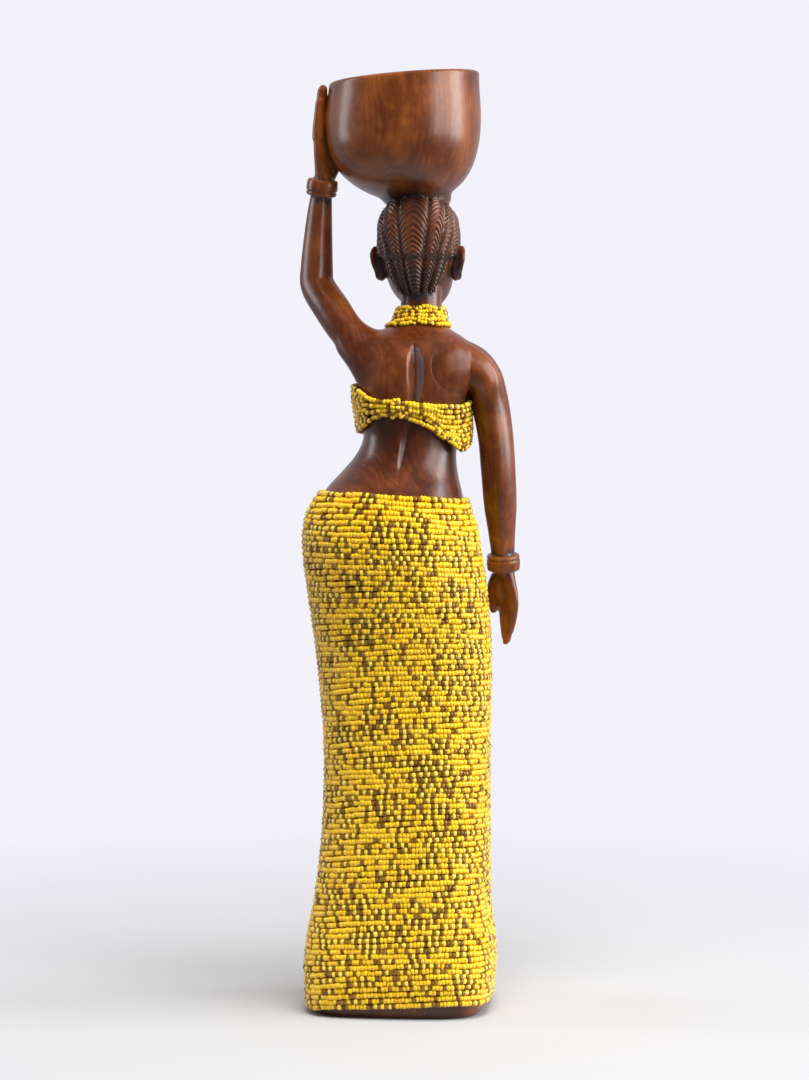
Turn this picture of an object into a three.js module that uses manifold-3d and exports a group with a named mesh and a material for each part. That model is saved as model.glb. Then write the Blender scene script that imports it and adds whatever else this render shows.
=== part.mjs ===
// Standing figure of a calabash bearer, carved from one piece of wood and dressed in strung seed beads.
// Millimetres. X runs to the figure's left, Y to its back and Z up.
// The origin is the middle of the base's underside.

import * as THREE from "three";
import { mergeVertices } from "three/addons/utils/BufferGeometryUtils.js";
import Module from "manifold-3d";

const wasm = await Module();
wasm.setup();

const { degToRad, radToDeg, smoothstep, lerp } = THREE.MathUtils;
const UP = new THREE.Vector3(0, 0, 1);

// Driving dimensions
const BODY_TURN = degToRad(6); // hips and shoulders turn this far to the left of the base
const HEAD_TURN = degToRad(-8); // and the head back to its right
const TURN_STARTS = 35; // height where the wrap starts to turn with the hips
const TURN_ENDS = 180;
const BODY_SIDES = 28;
const BEAD_GAP = 0.4; // between the wood and the beads strung round it
const BUST_GAP = 0.9; // the same under the bandeau, which is drawn tight over the bust
const BEAD_DIAMETER = 2.1;
const BOWL_RADIUS = 32.5;
const BOWL_RIM_RADIUS = 31.4;
const BOWL_HEIGHT = 52.8;
const BOWL_ROUND = 35; // height of the rounded lower part
const BOWL_WALL = 3.6;
const BOWL_FLOOR = 8;
const BOWL_LEAN = degToRad(5); // towards the raised hand
const BOWL_SAG = 1.7; // it bellies out towards the raised hand
const BOWL_FOOT_RADIUS = 14; // where it stands on the hair
const BOWL_FOOT = [-5.7, -4, 340.2];
const HAIR_BRAIDS = 14; // all round the head
const BRAID_RELIEF = 1.2;
const BRACELET_WIDTH = 6.4;
const BRACELET_THICKNESS = 1.7;
const BRACELET_SIDES = 14;
const BOWL_SIDES = 30;

// The body from the base's underside to the neck, with places along and across the turned body:
// height, middle x, middle y, half width, depth before, depth behind, squareness
const BODY = [
  [0, 0.6, 0, 35.4, 28.2, 28.2, 4.2],
  [2.5, 0.2, 0, 36.4, 29.3, 29.3, 4.2],
  [9, 0.2, 0, 37, 30.4, 30.4, 4],
  [16, 0, 0, 37.7, 31.6, 31.6, 3.5],
  [28, -0.3, 0, 37.4, 31.4, 31.4, 3.2],
  [44, -0.8, 0, 35, 30.4, 30.4, 3],
  [75, -2.5, 0, 33.1, 29.6, 29.6, 2.8],
  [115, -2.8, 0, 32.8, 29, 29.4, 2.7],
  [150, -1.5, 0.5, 34.6, 29, 30, 2.5],
  [176, 1.2, 1.5, 35.5, 29, 32, 2.4],
  [194, 3.6, 2.5, 35.3, 29, 33.5, 2.3],
  [204, 4.3, 3, 34.4, 28.8, 33.2, 2.2],
  [211, 4.6, 3, 32.4, 28, 31.6, 2.15],
  [221, 2.6, 2.2, 28, 25, 26, 2.1],
  [227, 0.5, 1.4, 24.6, 22.6, 22, 2.1],
  [234, -2.2, 0.4, 21.3, 21, 19.4, 2.1],
  [241, -4.2, 0, 20, 20.5, 18.6, 2.2],
  [249, -4.7, 0, 21.2, 21.5, 19.2, 2.3],
  [257, -4.8, 0.2, 22.6, 23, 20.6, 2.4],
  [266, -5, 1, 23.2, 22, 21.4, 2.4],
  [274, -5.4, 1.8, 24.4, 19.5, 20.6, 2.3],
  [280, -5.8, 2.2, 24.2, 17, 17.6, 2.2],
  [284, -6, 2, 20.4, 14.5, 14.5, 2.1],
  [287, -6.8, 1, 14.6, 12.5, 12, 2],
  [289.5, -7.8, 0, 11.2, 10.8, 10.4, 2],
  [292.5, -8.3, -0.8, 9.6, 9.8, 9.4, 2],
  [298, -8.7, -1.6, 8.6, 9.4, 9, 2],
  [308, -8.4, -2.4, 9.2, 9.6, 9, 2],
];
const CHEST_RINGS = [245, 253, 261.5]; // more rings of vertices under the bandeau
const BUST = { height: 256.5, apart: 10.5, reach: 6.5, rise: 8.5, depth: 5.5 };

// The furrow of the spine, cut along the back: x, y, z, radius
const FURROW = [
  [-5.8, 22.4, 280.5, 0.6],
  [-6, 24.4, 273, 3.4],
  [-6, 23.6, 262, 3.3],
  [-5.4, 21.6, 250, 2.7],
  [-3.8, 20.2, 241, 2.3],
  [-1.5, 20.4, 234, 2],
  [0.4, 23, 227, 0.7],
];
const SHOULDER_BLADE = [[-21, 12.4, 272.5], [9.6, 7.6, 11]];

// Arms from inside the shoulder to the wrist: x, y, z, radius
const RAISED_ARM = [
  [5, 3, 275.5, 10.5],
  [13.8, 4.5, 280.2, 10.3],
  [21.6, 3, 286.4, 8.7],
  [29.4, -2, 296, 7.7],
  [34.7, -7, 305.3, 7.2],
  [35.9, -8, 313, 6.7],
  [35.3, -7.4, 323, 6],
  [34.5, -6, 335, 5.1],
  [33.2, -4.4, 345, 4.5],
  [32.9, -3.6, 353, 4.2],
];
const HANGING_ARM = [
  [-24, 2, 277, 6.4],
  [-30, 2.4, 274.8, 8.4],
  [-34.9, 2.2, 268.6, 8.6],
  [-37.2, 1.6, 258.5, 7.5],
  [-39.3, 0.8, 244, 7.7],
  [-41.2, -0.4, 228, 7.4],
  [-42.2, -2.8, 213, 7],
  [-43, -5.6, 200, 5.7],
  [-43.5, -7.4, 191, 5],
  [-43.8, -9, 182, 4.9],
];

// Hands: the place of the wrist, the way the fingers point and the way the thumb lies
const RAISED_HAND = {
  wrist: [32.4, -3.6, 351.5],
  fingers: [0.1, 0, 1],
  thumb: [-0.3, -1, 0],
  curl: 2,
  length: 1,
};
const HANGING_HAND = {
  wrist: [-44.6, -9, 183],
  fingers: [-0.14, -0.1, -1],
  thumb: [0.55, -0.84, 0],
  curl: 3,
  length: 0.8,
};
const HAND_LENGTH = 37;
// along the hand, half width, half thickness
const PALM = [
  [-3, 4, 3.8],
  [4, 5.2, 3.2],
  [11, 6.6, 2.9],
  [18, 6.4, 2.4],
  [22, 5.6, 1.8],
];
// place across the hand and share of the hand's length
const FINGERS = [
  [4.6, 0.93],
  [1.6, 1],
  [-1.6, 0.97],
  [-4.6, 0.85],
];

// The head, in a frame of its own
const HEAD = [-7.8, -4, 320];
const HAIR = { halfWidth: 17.3, depth: 20.6, rise: 22, fall: 17, middle: 1 };
const HAIRLINE_SLOPE = degToRad(-39);
const NAPE_SLOPE = degToRad(138.7); // turns the axis that the braids share to run from nape to forehead
// height, middle y, half width, depth before, depth behind
const FACE = [
  [-24.5, -14, 4.5, 4.5, 4],
  [-22, -11.5, 8, 8.6, 8],
  [-18, -8, 11.4, 12.6, 12],
  [-13, -4.5, 13.5, 16.4, 15],
  [-7, -2, 14.7, 18.8, 16],
  [0, -1, 15.3, 20, 17],
  [8, -1, 15.2, 20, 17],
  [15, -1, 13.6, 17.4, 15],
  [20, 0, 10.6, 13, 11],
];
// middle and half sizes of the rounded forms that are added to the head
const FEATURES = [
  [[0, -21, -8.2], [2.5, 3.4, 4.8]],
  [[0, -19.6, -15.6], [4, 2, 1.4]],
  [[0, -18.8, -18], [3.4, 2, 1.4]],
  [[5.5, -18.2, -2], [3.2, 1.8, 1.7]],
  [[-5.5, -18.2, -2], [3.2, 1.8, 1.7]],
];
const EAR = [[17, 0.5, -4], [2.6, 4.4, 6.4]];

// The bandeau's edges round the chest: degrees from the left side towards the back, bottom, top
const BANDEAU = [
  [0, 243.5, 264],
  [25, 245.5, 262.5],
  [50, 249.4, 258.8],
  [80, 251, 257.6],
  [92, 248.2, 257.2],
  [118, 243, 256.3],
  [140, 238.8, 256],
  [165, 235.5, 257],
  [190, 236, 259],
  [225, 239, 262.5],
  [270, 241.5, 264.5],
  [315, 242.5, 265],
  [360, 243.5, 264],
];
const BANDEAU_STRANDS = 5;
const BANDEAU_HANG = 250; // below this it hangs straight down on the figure's right
const CHOKER = { bottom: 288.9, top: 297.2, rows: 4, dip: 1.8 }; // it dips before the throat
const SKIRT = { hem: 5.2, hemSlope: -0.055, waistband: 217.6, waistbandSlope: 0.055 };

const polishedWood = new THREE.MeshStandardMaterial({ color: 0x6b351f, roughness: 0.3, metalness: 0 });
const yellowBeads = new THREE.MeshStandardMaterial({ color: 0xe6c417, roughness: 0.25, metalness: 0 });

// A geometry as a solid that can be cut and joined
function solidOf(geometry) {
  const bare = geometry.clone();
  bare.deleteAttribute("normal");
  bare.deleteAttribute("uv");
  const merged = mergeVertices(bare, 1e-4);
  const mesh = new wasm.Mesh({
    numProp: 3,
    vertProperties: new Float32Array(merged.attributes.position.array),
    triVerts: new Uint32Array(merged.index.array),
  });
  const solid = new wasm.Manifold(mesh);
  if (solid.volume() < 0) throw new Error("a shape is inside out");
  return solid;
}

function meshOf(solid, name, material) {
  const { vertProperties, triVerts } = solid.getMesh();
  const geometry = new THREE.BufferGeometry();
  geometry.setAttribute("position", new THREE.BufferAttribute(vertProperties, 3));
  geometry.setIndex(new THREE.BufferAttribute(triVerts, 1));
  geometry.computeVertexNormals();
  const mesh = new THREE.Mesh(geometry, material);
  mesh.name = name;
  return mesh;
}

// Moves every vertex of a geometry
function reshape(geometry, place) {
  const position = geometry.attributes.position;
  const point = new THREE.Vector3();
  for (let i = 0; i < position.count; i++) {
    point.fromBufferAttribute(position, i);
    place(point);
    position.setXYZ(i, point.x, point.y, point.z);
  }
  return geometry;
}

// A smooth run through rows whose first value is the parameter
function smoothRows(rows) {
  const keys = rows.map((row) => row[0]);
  const values = rows.flatMap((row) => row.slice(1));
  const run = new THREE.CubicInterpolant(keys, values, rows[0].length - 1);
  return (key) => Array.from(run.evaluate(key));
}

// A signed power, exactly zero at a seam so that its two sides meet
function power(value, exponent) {
  return Math.abs(value) < 1e-9 ? 0 : Math.sign(value) * Math.abs(value) ** exponent;
}

function bump(distance, reach) {
  return Math.exp(-((distance / reach) ** 2));
}

// A closed loft along Z with a ring at each level. place gets the level, the angle, and 1 on the ring or 0
// in the middle of an end.
function loft(levels, sides, place) {
  const geometry = new THREE.CylinderGeometry(1, 1, 1, sides, levels.length - 1);
  geometry.rotateX(Math.PI / 2);
  return reshape(geometry, (point) => {
    const level = levels[Math.round((point.z + 0.5) * (levels.length - 1))];
    const reach = Math.round(Math.hypot(point.x, point.y));
    point.copy(place(level, Math.atan2(point.y, point.x), reach));
  });
}

const bodyAt = smoothRows(BODY);

// A point of the body's surface, moved outwards by an offset, or the middle of its section where reach is 0
function bodyPoint(height, angle, offset, reach) {
  const [x, y, halfWidth, before, behind, squareness] = bodyAt(height);
  const across = power(Math.cos(angle), 2 / squareness) * (halfWidth + offset);
  const depth = Math.sin(angle) > 0 ? behind : before;
  let along = power(Math.sin(angle), 2 / squareness) * (depth + offset);
  if (along < 0) {
    const breast = bump(Math.abs(across) - BUST.apart, BUST.reach) * bump(height - BUST.height, BUST.rise);
    along += BUST.depth * breast * Math.sin(angle);
  }
  const turn = smoothstep(height, TURN_STARTS, TURN_ENDS) * BODY_TURN;
  const point = new THREE.Vector3(across * reach, along * reach, 0).applyAxisAngle(UP, turn);
  return point.add(new THREE.Vector3(x, y, height).applyAxisAngle(UP, BODY_TURN));
}

function bodyTrunk() {
  const levels = [...BODY.map((row) => row[0]), ...CHEST_RINGS].sort((a, b) => a - b);
  return loft(levels, BODY_SIDES, (height, angle, reach) => bodyPoint(height, angle, 0, reach));
}

// A ring of beadwork round the body. Its profile holds pairs of offset and level, and heightAt
// turns a level at an angle into a height.
function sleeve(profile, heightAt, hang = () => 0) {
  const AXIS = 100;
  const closed = [...profile, profile[0]].map(([offset, level]) => new THREE.Vector2(AXIS + offset, level));
  const geometry = new THREE.LatheGeometry(closed, BODY_SIDES);
  geometry.rotateX(Math.PI / 2);
  return reshape(geometry, (point) => {
    const angle = Math.atan2(point.y, point.x);
    const offset = Math.hypot(point.x, point.y) - AXIS;
    const height = heightAt(point.z, angle);
    const lift = Math.max(0, BANDEAU_HANG - height) * hang(angle);
    point.copy(bodyPoint(height + lift, angle, offset, 1)).setZ(height);
  });
}

// The profile of strands that lie one above another: ridges outside, flat against the body inside
function strandProfile(strands, gap) {
  const outside = [];
  for (let i = 0; i <= strands; i++) {
    outside.push([gap + BEAD_DIAMETER * 0.5, i / strands]);
    if (i < strands) outside.push([gap + BEAD_DIAMETER, (i + 0.5) / strands]);
  }
  const inside = outside.filter((point, i) => i % 2 === 0).map(([, level]) => [gap, level]);
  return [...outside, ...inside.reverse()];
}

// The skirt's rings lie where the body's do, so that both bend alike
function skirt() {
  const inner = BODY.map((row) => row[0]).filter((height) => height > 8 && height < 212);
  const levels = [-1, ...inner, 1000];
  const outside = levels.map((level) => [BEAD_GAP + BEAD_DIAMETER, level]);
  const inside = levels.map((level) => [BEAD_GAP, level]).reverse();
  return sleeve([...outside, ...inside], (level, angle) => {
    const side = bodyPoint(inner[0], angle, 0, 1).x;
    if (level < 0) return SKIRT.hem + SKIRT.hemSlope * side;
    return level > inner.at(-1) ? SKIRT.waistband + SKIRT.waistbandSlope * side : level;
  });
}

function bandeau() {
  const edges = smoothRows(BANDEAU);
  const heightAt = (level, angle) => {
    const [bottom, top] = edges(THREE.MathUtils.euclideanModulo(radToDeg(angle), 360));
    return lerp(bottom, top, level);
  };
  return sleeve(strandProfile(BANDEAU_STRANDS, BUST_GAP), heightAt, (angle) => (1 - Math.cos(angle)) / 2);
}

function choker() {
  return sleeve(strandProfile(CHOKER.rows, BEAD_GAP), (level, angle) => {
    const dip = (CHOKER.dip * (1 - Math.sin(angle))) / 2;
    return lerp(CHOKER.bottom, CHOKER.top, level) - dip;
  });
}

// A round limb along a smooth curve through points with a radius each
function limb(rows, sides, rings) {
  const curve = new THREE.CatmullRomCurve3(rows.map(([x, y, z]) => new THREE.Vector3(x, y, z)));
  const radii = smoothRows(rows.map((row, i) => [i / (rows.length - 1), row[3]]));
  const steps = Array.from({ length: rings }, (unused, i) => i / (rings - 1));
  return loft(steps, sides, (step, angle, reach) => {
    const tangent = curve.getTangent(step);
    const ahead = new THREE.Vector3(0, 1, 0).cross(tangent).normalize();
    const beside = new THREE.Vector3().crossVectors(tangent, ahead);
    const radius = radii(step)[0] * reach;
    return curve
      .getPoint(step)
      .addScaledVector(ahead, Math.cos(angle) * radius)
      .addScaledVector(beside, Math.sin(angle) * radius);
  });
}

// A ring carved round a limb near its wrist end
function bracelet(rows, from, to) {
  const middle = new THREE.Vector3(...from).lerp(new THREE.Vector3(...to), 0.5);
  const axis = new THREE.Vector3(...to).sub(new THREE.Vector3(...from)).normalize();
  const half = BRACELET_WIDTH / 2;
  const inner = rows.at(-2)[3] - 1;
  const outer = rows.at(-2)[3] + BRACELET_THICKNESS;
  const profile = [
    [inner, -half],
    [outer - 0.9, -half],
    [outer, -half + 1.3],
    [outer, half - 1.3],
    [outer - 0.9, half],
    [inner, half],
    [inner, -half],
  ];
  const geometry = new THREE.LatheGeometry(profile.map(([r, y]) => new THREE.Vector2(r, y)), BRACELET_SIDES);
  geometry.applyQuaternion(new THREE.Quaternion().setFromUnitVectors(new THREE.Vector3(0, 1, 0), axis));
  return geometry.translate(middle.x, middle.y, middle.z);
}

// A hand in a frame of its own: X out of the palm, Y towards the thumb, Z along the fingers
function hand({ wrist, fingers, thumb, curl, length }) {
  const palmAt = smoothRows(PALM);
  const bend = (along) => curl * Math.max(0, along / HAND_LENGTH) ** 2;
  const levels = PALM.map((row) => row[0]);
  const shapes = [
    loft(levels, 10, (level, angle, reach) => {
      const [halfWidth, halfThickness] = palmAt(level).map((size) => size * reach);
      const outward = bend(level) + Math.cos(angle) * halfThickness;
      return new THREE.Vector3(outward, Math.sin(angle) * halfWidth, level);
    }),
  ];
  for (const [across, share] of FINGERS) {
    const tip = HAND_LENGTH * share;
    const rows = [
      [bend(15), across, 15, 1.7],
      [bend(tip * 0.75), across * 0.8, tip * 0.75, 1.65],
      [bend(tip), across * 0.62, tip, 0.7],
    ];
    shapes.push(limb(rows, 6, 4));
  }
  const thumbRows = [
    [1.5, 3, 1, 2.6],
    [5.4, 6.4, 9, 2.4],
    [6, 7, 18, 1.1],
  ];
  shapes.push(limb(thumbRows, 6, 4));
  const along = new THREE.Vector3(...fingers).normalize();
  const outward = new THREE.Vector3(...thumb).cross(along).normalize();
  const side = new THREE.Vector3().crossVectors(along, outward);
  const frame = new THREE.Matrix4().makeBasis(outward, side, along).setPosition(...wrist);
  return joined(shapes.map((shape) => shape.scale(1, 1, length).applyMatrix4(frame)));
}

function joined(geometries) {
  return geometries.map(solidOf).reduce((whole, solid) => whole.add(solid));
}

function ellipsoid([x, y, z], [rx, ry, rz], around, across) {
  const geometry = new THREE.SphereGeometry(1, around, across);
  return geometry.rotateX(Math.PI / 2).scale(rx, ry, rz).translate(x, y, z);
}

// The mass of braided hair: ridges that run from the forehead over the crown to the nape
function hair() {
  const geometry = new THREE.SphereGeometry(1, HAIR_BRAIDS * 2, 12);
  reshape(geometry, (point) => {
    const azimuth = Math.atan2(point.x, -point.z);
    const ridge = (1 + Math.cos(azimuth * HAIR_BRAIDS)) / 2;
    const fade = smoothstep(Math.hypot(point.x, point.z), 0.1, 0.5);
    point.multiplyScalar(1 + (BRAID_RELIEF / HAIR.halfWidth) * (ridge - 1) * fade);
  });
  geometry.rotateX(NAPE_SLOPE);
  return reshape(geometry, (point) => {
    const fullness = 2 + 0.6 * smoothstep(point.z, -0.2, 0.5);
    const norm = point.toArray().reduce((sum, part) => sum + Math.abs(part) ** fullness, 0);
    point.multiplyScalar(point.length() * norm ** (-1 / fullness));
    point.z *= point.z > 0 ? HAIR.rise : HAIR.fall;
    point.x *= HAIR.halfWidth;
    point.y = point.y * HAIR.depth + HAIR.middle;
  });
}

function head() {
  const faceAt = smoothRows(FACE);
  const face = loft(FACE.map((row) => row[0]), 18, (level, angle, reach) => {
    const [y, halfWidth, before, behind] = faceAt(level);
    const depth = Math.sin(angle) > 0 ? behind : before;
    return new THREE.Vector3(Math.cos(angle) * halfWidth * reach, y + Math.sin(angle) * depth * reach, level);
  });
  // The hairline is a slanted cut from above the forehead to the nape
  const beforeHairline = new THREE.BoxGeometry(60, 60, 80);
  beforeHairline.translate(0, -30, 0).rotateX(HAIRLINE_SLOPE).translate(0, -8, 2);
  const locks = solidOf(hair()).subtract(solidOf(beforeHairline));
  const [[x, y, z], earSizes] = EAR;
  const ears = [x, -x].map((side) => ellipsoid([side, y, z], earSizes, 8, 6));
  const features = FEATURES.map(([middle, sizes]) => ellipsoid(middle, sizes, 6, 5));
  const whole = locks.add(joined([face, ...ears, ...features]));
  return whole.rotate([0, 0, radToDeg(HEAD_TURN)]).translate(HEAD);
}

function bowl() {
  const round = (height, radius, top) => radius * Math.sqrt(1 - (1 - Math.min(1, height / top)) ** 2.2);
  const foot = (height) => (height < 10 ? BOWL_FOOT_RADIUS + height / 2 : 0);
  const rimCurve = (height) => (BOWL_RADIUS - BOWL_RIM_RADIUS) * smoothstep(height, BOWL_ROUND, BOWL_HEIGHT);
  const outer = [0, 1.5, 5, 10, 16, 24, 36, BOWL_HEIGHT - 1.2];
  const inner = [BOWL_HEIGHT - 1, 36, 24, 15, 10, BOWL_FLOOR];
  const profile = [
    [0, -2],
    ...outer.map((height) => [
      Math.max(foot(height), round(height, BOWL_RADIUS, BOWL_ROUND)) - rimCurve(height),
      height,
    ]),
    [BOWL_RIM_RADIUS - 0.6, BOWL_HEIGHT],
    [BOWL_RIM_RADIUS - BOWL_WALL + 0.6, BOWL_HEIGHT],
    ...inner.map((height) => [
      round(height - BOWL_FLOOR, BOWL_RADIUS - BOWL_WALL, BOWL_ROUND - BOWL_FLOOR) - rimCurve(height),
      height,
    ]),
  ];
  const points = profile.map(([radius, height]) => new THREE.Vector2(Math.max(0, radius), height));
  const geometry = new THREE.LatheGeometry(points, BOWL_SIDES);
  geometry.rotateX(Math.PI / 2);
  reshape(geometry, (point) => {
    point.x += BOWL_SAG * Math.sin(Math.PI * Math.max(0, point.z / BOWL_HEIGHT) ** 0.9);
  });
  geometry.rotateY(BOWL_LEAN);
  return geometry.translate(...BOWL_FOOT);
}

function turned(solid) {
  return solid.rotate([0, 0, radToDeg(BODY_TURN)]);
}

// A furrow along the spine, and the right shoulder blade beside it
function backRelief(trunk) {
  const furrow = solidOf(limb(FURROW, 8, 9));
  const blade = solidOf(ellipsoid(...SHOULDER_BLADE, 12, 8));
  return trunk.add(turned(blade)).subtract(turned(furrow));
}

function carvedFigure() {
  const limbs = joined([
    limb(RAISED_ARM, 10, 12),
    limb(HANGING_ARM, 10, 12),
    bracelet(RAISED_ARM, [33.4, -4.8, 343.4], [32.6, -3.8, 350]),
    bracelet(HANGING_ARM, [-43.6, -7.2, 192], [-43.8, -8.4, 185.2]),
    bowl(),
  ]);
  const hands = hand(RAISED_HAND).add(hand(HANGING_HAND));
  return backRelief(solidOf(bodyTrunk())).add(turned(limbs.add(hands).add(head())));
}

const statuette = new THREE.Group();
statuette.add(
  meshOf(carvedFigure(), "carved_figure", polishedWood),
  meshOf(solidOf(skirt()), "beaded_skirt", yellowBeads),
  meshOf(solidOf(bandeau()), "beaded_bandeau", yellowBeads),
  meshOf(solidOf(choker()), "beaded_choker", yellowBeads),
);
export default statuette;
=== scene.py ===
"""Calabash bearer statuette: a polished wood carving dressed in strung glass seed beads.

The measures are those of the carved solids, in millimetres. X runs to the figure's left, Y to its back
and Z up, and the origin is the middle of the base's underside.
"""

import math

import bmesh
import bpy
import numpy as np
from mathutils import Matrix, Vector, noise


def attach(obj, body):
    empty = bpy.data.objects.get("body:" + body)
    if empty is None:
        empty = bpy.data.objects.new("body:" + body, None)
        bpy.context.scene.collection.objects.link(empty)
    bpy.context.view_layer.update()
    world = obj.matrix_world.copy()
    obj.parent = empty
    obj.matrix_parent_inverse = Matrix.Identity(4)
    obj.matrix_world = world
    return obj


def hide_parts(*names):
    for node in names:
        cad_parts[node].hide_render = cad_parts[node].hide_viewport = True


bl_info = {
    "name": "Calabash Bearer Statuette",
    "version": (1, 0, 0),
    "blender": (4, 5, 0),
    "location": "View3D > Sidebar > Statuette",
    "description": "Models the carved figure, its strung beadwork and the studio round it",
    "category": "Object",
}

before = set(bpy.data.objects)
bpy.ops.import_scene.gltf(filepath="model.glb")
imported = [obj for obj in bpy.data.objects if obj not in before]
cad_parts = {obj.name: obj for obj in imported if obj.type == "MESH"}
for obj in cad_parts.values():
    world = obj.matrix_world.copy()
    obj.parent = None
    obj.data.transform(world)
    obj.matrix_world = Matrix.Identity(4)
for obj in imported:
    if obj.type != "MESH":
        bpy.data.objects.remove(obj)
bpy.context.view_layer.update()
MM = 0.001

# Sizes shared with the solids

BODY_TURN = math.radians(6)
HEAD_TURN = math.radians(-8)
TURN_STARTS, TURN_ENDS = 35, 180

# height, middle x, middle y, half width, depth before, depth behind, squareness
BODY = [
    (0, 0.6, 0, 35.4, 28.2, 28.2, 4.2),
    (2.5, 0.2, 0, 36.4, 29.3, 29.3, 4.2),
    (9, 0.2, 0, 37, 30.4, 30.4, 4),
    (16, 0, 0, 37.7, 31.6, 31.6, 3.5),
    (28, -0.3, 0, 37.4, 31.4, 31.4, 3.2),
    (44, -0.8, 0, 35, 30.4, 30.4, 3),
    (75, -2.5, 0, 33.1, 29.6, 29.6, 2.8),
    (115, -2.8, 0, 32.8, 29, 29.4, 2.7),
    (150, -1.5, 0.5, 34.6, 29, 30, 2.5),
    (176, 1.2, 1.5, 35.5, 29, 32, 2.4),
    (194, 3.6, 2.5, 35.3, 29, 33.5, 2.3),
    (204, 4.3, 3, 34.4, 28.8, 33.2, 2.2),
    (211, 4.6, 3, 32.4, 28, 31.6, 2.15),
    (221, 2.6, 2.2, 28, 25, 26, 2.1),
    (227, 0.5, 1.4, 24.6, 22.6, 22, 2.1),
    (234, -2.2, 0.4, 21.3, 21, 19.4, 2.1),
    (241, -4.2, 0, 20, 20.5, 18.6, 2.2),
    (249, -4.7, 0, 21.2, 21.5, 19.2, 2.3),
    (257, -4.8, 0.2, 22.6, 23, 20.6, 2.4),
    (266, -5, 1, 23.2, 22, 21.4, 2.4),
    (274, -5.4, 1.8, 24.4, 19.5, 20.6, 2.3),
    (280, -5.8, 2.2, 24.2, 17, 17.6, 2.2),
    (284, -6, 2, 20.4, 14.5, 14.5, 2.1),
    (287, -6.8, 1, 14.6, 12.5, 12, 2),
    (289.5, -7.8, 0, 11.2, 10.8, 10.4, 2),
    (292.5, -8.3, -0.8, 9.6, 9.8, 9.4, 2),
    (298, -8.7, -1.6, 8.6, 9.4, 9, 2),
    (308, -8.4, -2.4, 9.2, 9.6, 9, 2),
]
BUST_HEIGHT, BUST_APART, BUST_REACH, BUST_RISE, BUST_DEPTH = 256.5, 10.5, 6.5, 8.5, 5.5
WAIST_CUT = 200  # below it the wood is plain under the wrap

# Arms: x, y, z, radius
RAISED_ARM = [
    (5, 3, 275.5, 10.5),
    (13.4, 4.4, 279.2, 9.2),
    (21.4, 3, 285.4, 8),
    (29, -1.8, 296, 7.7),
    (34.2, -6.4, 304, 7.4),
    (35.4, -7.6, 307.4, 7.2),
    (35.4, -8, 311.6, 7),
    (34.9, -7.4, 323, 6.3),
    (34.1, -6, 335, 5.4),
    (33.2, -4.4, 345, 4.5),
    (32.9, -3.6, 353, 4.2),
]
# the muscle that runs from the back into the raised arm
ARM_WEB = [(24, 0.5, 285.5, 7.4), (16.5, 7, 275.8, 7.4), (10, 9, 265.5, 7.6), (4, 8, 256, 6)]
HANGING_ARM = [
    (-21, 3, 276, 6.8),
    (-28.4, 3, 273.6, 8.8),
    (-33.8, 2.4, 267.6, 8.9),
    (-37.1, 1.6, 258, 8.2),
    (-39.8, 0.8, 244, 7.6),
    (-41.2, -0.4, 228, 7.4),
    (-42.2, -2.8, 213, 7),
    (-43, -5.6, 200, 5.7),
    (-43.5, -7.4, 191, 5),
    (-43.8, -9, 182, 4.9),
]
BRACELETS = [
    (RAISED_ARM, (33.4, -4.8, 343.4), (32.6, -3.8, 350)),
    (HANGING_ARM, (-43.6, -7.2, 192), (-43.8, -8.4, 185.2)),
]
BRACELET_WIDTH, BRACELET_THICKNESS = 7, 2.1
ARM_ROUNDNESS = 1.52  # 2 is round, and less is keeled towards the back

# Hands: the place of the wrist, the way the fingers point, the way the thumb lies, curl, length, fullness
HANDS = [
    ((32.4, -3.6, 351.5), (0.1, 0, 1), (-0.3, -1, 0), 3.9, 1.025, 1.2),
    ((-44.8, -9, 183), (-0.14, -0.1, -1), (0.55, -0.84, 0), 4.8, 0.8, 1),
]
HAND_LENGTH = 37
# along the hand, half width, half thickness
PALM = [(-3, 4, 3.8), (4, 5.2, 3.2), (11, 6.6, 2.9), (18, 6.4, 2.4), (22, 5.6, 1.8)]
# place across the hand and share of the hand's length
FINGERS = [(3.9, 0.93), (1.2, 1), (-1.7, 0.97), (-4.6, 0.85)]
# x, y, z, radius in the hand's own frame
THUMB = [(1.5, 2.4, -1, 3.4), (3.2, 4.6, 6, 3.5), (4.2, 5.9, 13, 2.5), (4, 7.3, 20.5, 1.2)]

HEAD = (-7.8, -4, 320)
# height, middle y, half width, depth before, depth behind
FACE = [
    (-24.5, -14, 4.5, 4.5, 4),
    (-22, -11.5, 8, 8.6, 8),
    (-18, -8, 11.4, 12.6, 12),
    (-13, -4.5, 13.5, 16.4, 15),
    (-7, -2, 14.7, 18.8, 16),
    (0, -1, 15.3, 20, 17),
    (8, -1, 15.2, 20, 17),
    (15, -1, 13.6, 17.4, 15),
    (20, 0, 10.6, 13, 11),
]
HAIR_HALF_WIDTH, HAIR_DEPTH, HAIR_RISE, HAIR_FALL, HAIR_MIDDLE = 17.3, 20.6, 22, 22.6, 1
HAIRLINE_SLOPE = math.radians(39)
# The braids lie between planes that share a line, from inside the neck to the forehead
BRAID_LINE_AWAY, BRAID_LINE_TILT = 0.59, math.radians(35)
BRAID_EDGES = (12.6, 26.4, 40.4, 54.6, 69, 83.6, 98.2)  # degrees each way from the middle of the back
BRAID_RINGS, RINGS_TO_A_STRAND = 240, (5, 5, 5, 6, 6, 8, 8, 8)
BRAID_RELIEF, STRAND_RELIEF, STRAND_SLANT = 1.7, 0.72, 0.13

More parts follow.
